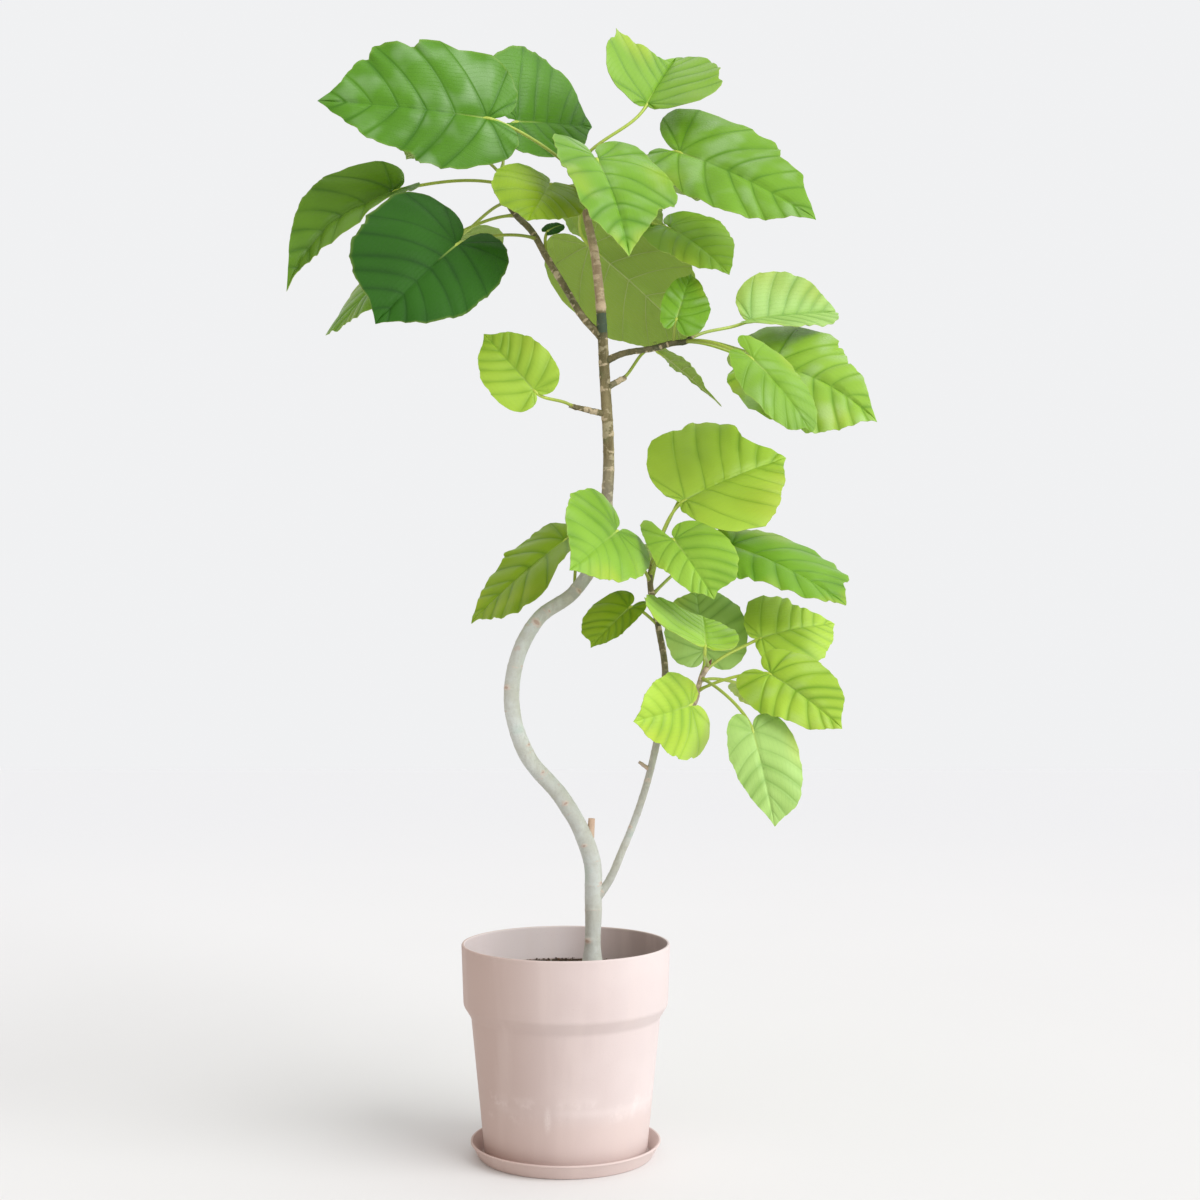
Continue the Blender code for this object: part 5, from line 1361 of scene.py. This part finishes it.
def make_soil(earth):
    """A crumbly surface with loose crumbs and bits of bark on a plain block."""
    random = np.random.default_rng(5)
    rings, sides = 46, 150
    top_r = 0.1203
    terms = [(random.uniform(-260, 260, 2), random.uniform(0, math.tau), random.uniform(0.3, 1.0)) for _ in range(40)]
    bundle = Bundle()
    points = [(0.0, 0.0, SOIL_Z)]
    turn = np.arange(sides) * math.tau / sides
    for k in range(1, rings + 1):
        r = top_r * k / rings
        x, y = r * np.cos(turn), r * np.sin(turn)
        bumps = sum(w * np.cos(f[0] * x + f[1] * y + p) for f, p, w in terms) / 10
        near_trunk = np.exp(-(((np.hypot(x - 0.032, y)) / 0.022) ** 2))
        z = SOIL_Z + 0.0012 * bumps + 0.002 * near_trunk - 0.0016 * (k == rings)
        points.extend(np.stack([x, y, z], axis=1).tolist())
    for low_r, low_z in ((0.1189, 0.181), (0.1098, 0.166), (0.0942, 0.0076)):
        points.extend([(low_r * math.cos(a), low_r * math.sin(a), low_z) for a in turn])
    points.append((0.0, 0.0, 0.0076))
    faces = [(0, 1 + k, 1 + (k + 1) % sides) for k in range(sides)]
    for ring in range(rings + 2):
        base = 1 + ring * sides
        faces += [
            (base + k, base + sides + k, base + sides + (k + 1) % sides, base + (k + 1) % sides)
            for k in range(sides)
        ]
    last = 1 + (rings + 2) * sides
    faces += [(last + (k + 1) % sides, last + k, last + sides) for k in range(sides)]
    bundle.add(points, faces, {"grain": np.full(len(points), 0.3)})
    ico = bmesh.new()
    bmesh.ops.create_icosphere(ico, subdivisions=1, radius=1.0)
    shape = np.array([v.co[:] for v in ico.verts])
    ico_faces = [tuple(v.index for v in f.verts) for f in ico.faces]
    ico.free()
    for _ in range(2600):
        r = top_r * 0.985 * math.sqrt(random.random())
        a = random.uniform(0, math.tau)
        x, y = r * math.cos(a), r * math.sin(a)
        if math.hypot(x - 0.032, y) < 0.015:
            continue
        size = random.uniform(0.0007, 0.0021) * (1.7 if random.random() < 0.06 else 1.0) * (0.6 if r > 0.095 else 1.0)
        scale = size * random.uniform(0.6, 1.3, 3) * (1.0, 1.0, 0.75)
        turned = np.array([[math.cos(a * 7), -math.sin(a * 7), 0], [math.sin(a * 7), math.cos(a * 7), 0], [0, 0, 1]])
        lump = shape * random.uniform(0.8, 1.2, (len(shape), 1)) * scale
        bundle.add(
            lump @ turned.T + (x, y, SOIL_Z + size * 0.25 + 0.0006),
            ico_faces, {"grain": np.full(len(shape), random.random())},
        )
    place_piece(bundle.piece("soil_crumbs", [earth], sharp=60.0), "soil", "soil")


def make_stage():
    floor = bpy.data.meshes.new("floor")
    size = 6.0
    floor.from_pydata([(-size, -size, 0), (size, -size, 0), (size, size, 0), (-size, size, 0)], [], [(0, 1, 2, 3)])
    ground = bpy.data.objects.new("floor", floor)
    ground.location.z = -0.0002
    bpy.context.scene.collection.objects.link(ground)
    paint = Paint("floor_paint", Specular_IOR_Level=0.2)
    near = paint.mix(paint.noise(1.5, 2.0), (226, 225, 224), (229, 228, 227))
    deep = paint.make("VectorMath", {0: paint.place}, operation="LENGTH").outputs["Value"]
    floor.materials.append(paint.finish(paint.mix(paint.ramp(deep, 0.4, 4.5), near, (222, 222, 223)), 0.7))
    world = bpy.data.worlds.new("studio")
    world.use_nodes = True
    nodes, links = world.node_tree.nodes, world.node_tree.links
    way = nodes.new("ShaderNodeSeparateXYZ")
    links.new(nodes.new("ShaderNodeTexCoord").outputs["Generated"], way.inputs[0])
    before = None
    for axis, low, high, colour in (
        (1, 0.45, -0.55, (0.76, 0.76, 0.76, 1.0)),
        (0, 0.35, 0.85, (1.08, 1.10, 1.14, 1.0)),
        (0, -0.35, -0.85, (0.66, 0.59, 0.54, 1.0)),
    ):
        share = nodes.new("ShaderNodeMapRange")
        share.interpolation_type = "SMOOTHSTEP"
        links.new(way.outputs[axis], share.inputs["Value"])
        share.inputs["From Min"].default_value = low
        share.inputs["From Max"].default_value = high
        sky = nodes.new("ShaderNodeMix")
        sky.data_type = "RGBA"
        links.new(share.outputs[0], sky.inputs[0])
        sky.inputs[6].default_value = (0.875, 0.88, 0.89, 1.0)
        sky.inputs[7].default_value = colour
        if before is not None:
            links.new(before, sky.inputs[6])
        before = sky.outputs[2]
    links.new(before, nodes["Background"].inputs["Color"])
    bpy.context.scene.world = world
    light = bpy.data.lights.new("window", "SUN")
    light.energy = 2.1
    light.angle = math.radians(48)
    light.color = (0.985, 0.99, 1.0)
    lamp = bpy.data.objects.new("window", light)
    way = -np.array((1.25, -0.80, 1.00))
    lamp.rotation_euler = (math.atan2(math.hypot(way[0], way[1]), -way[2]), 0.0, math.atan2(-way[0], way[1]))
    bpy.context.scene.collection.objects.link(lamp)
    lens = bpy.data.cameras.new("camera")
    lens.lens = 54.0
    lens.sensor_width = 36.0
    lens.shift_y = 31 / 1200
    camera = bpy.data.objects.new("camera", lens)
    camera.location = (0.041, -2.161, 0.627)
    camera.rotation_euler = (math.radians(90), 0.0, 0.0)
    bpy.context.scene.collection.objects.link(camera)
    bpy.context.scene.camera = camera
    bpy.context.scene.view_settings.view_transform = "Standard"


make_stage()
make_leaves((leaf_paint("leaf_upper", False), leaf_paint("leaf_under", True)), stalk_paint())
make_bark(bark_paint())
make_buds()
make_pot(plastic_paint("pot_matte"))
make_soil(soil_paint())
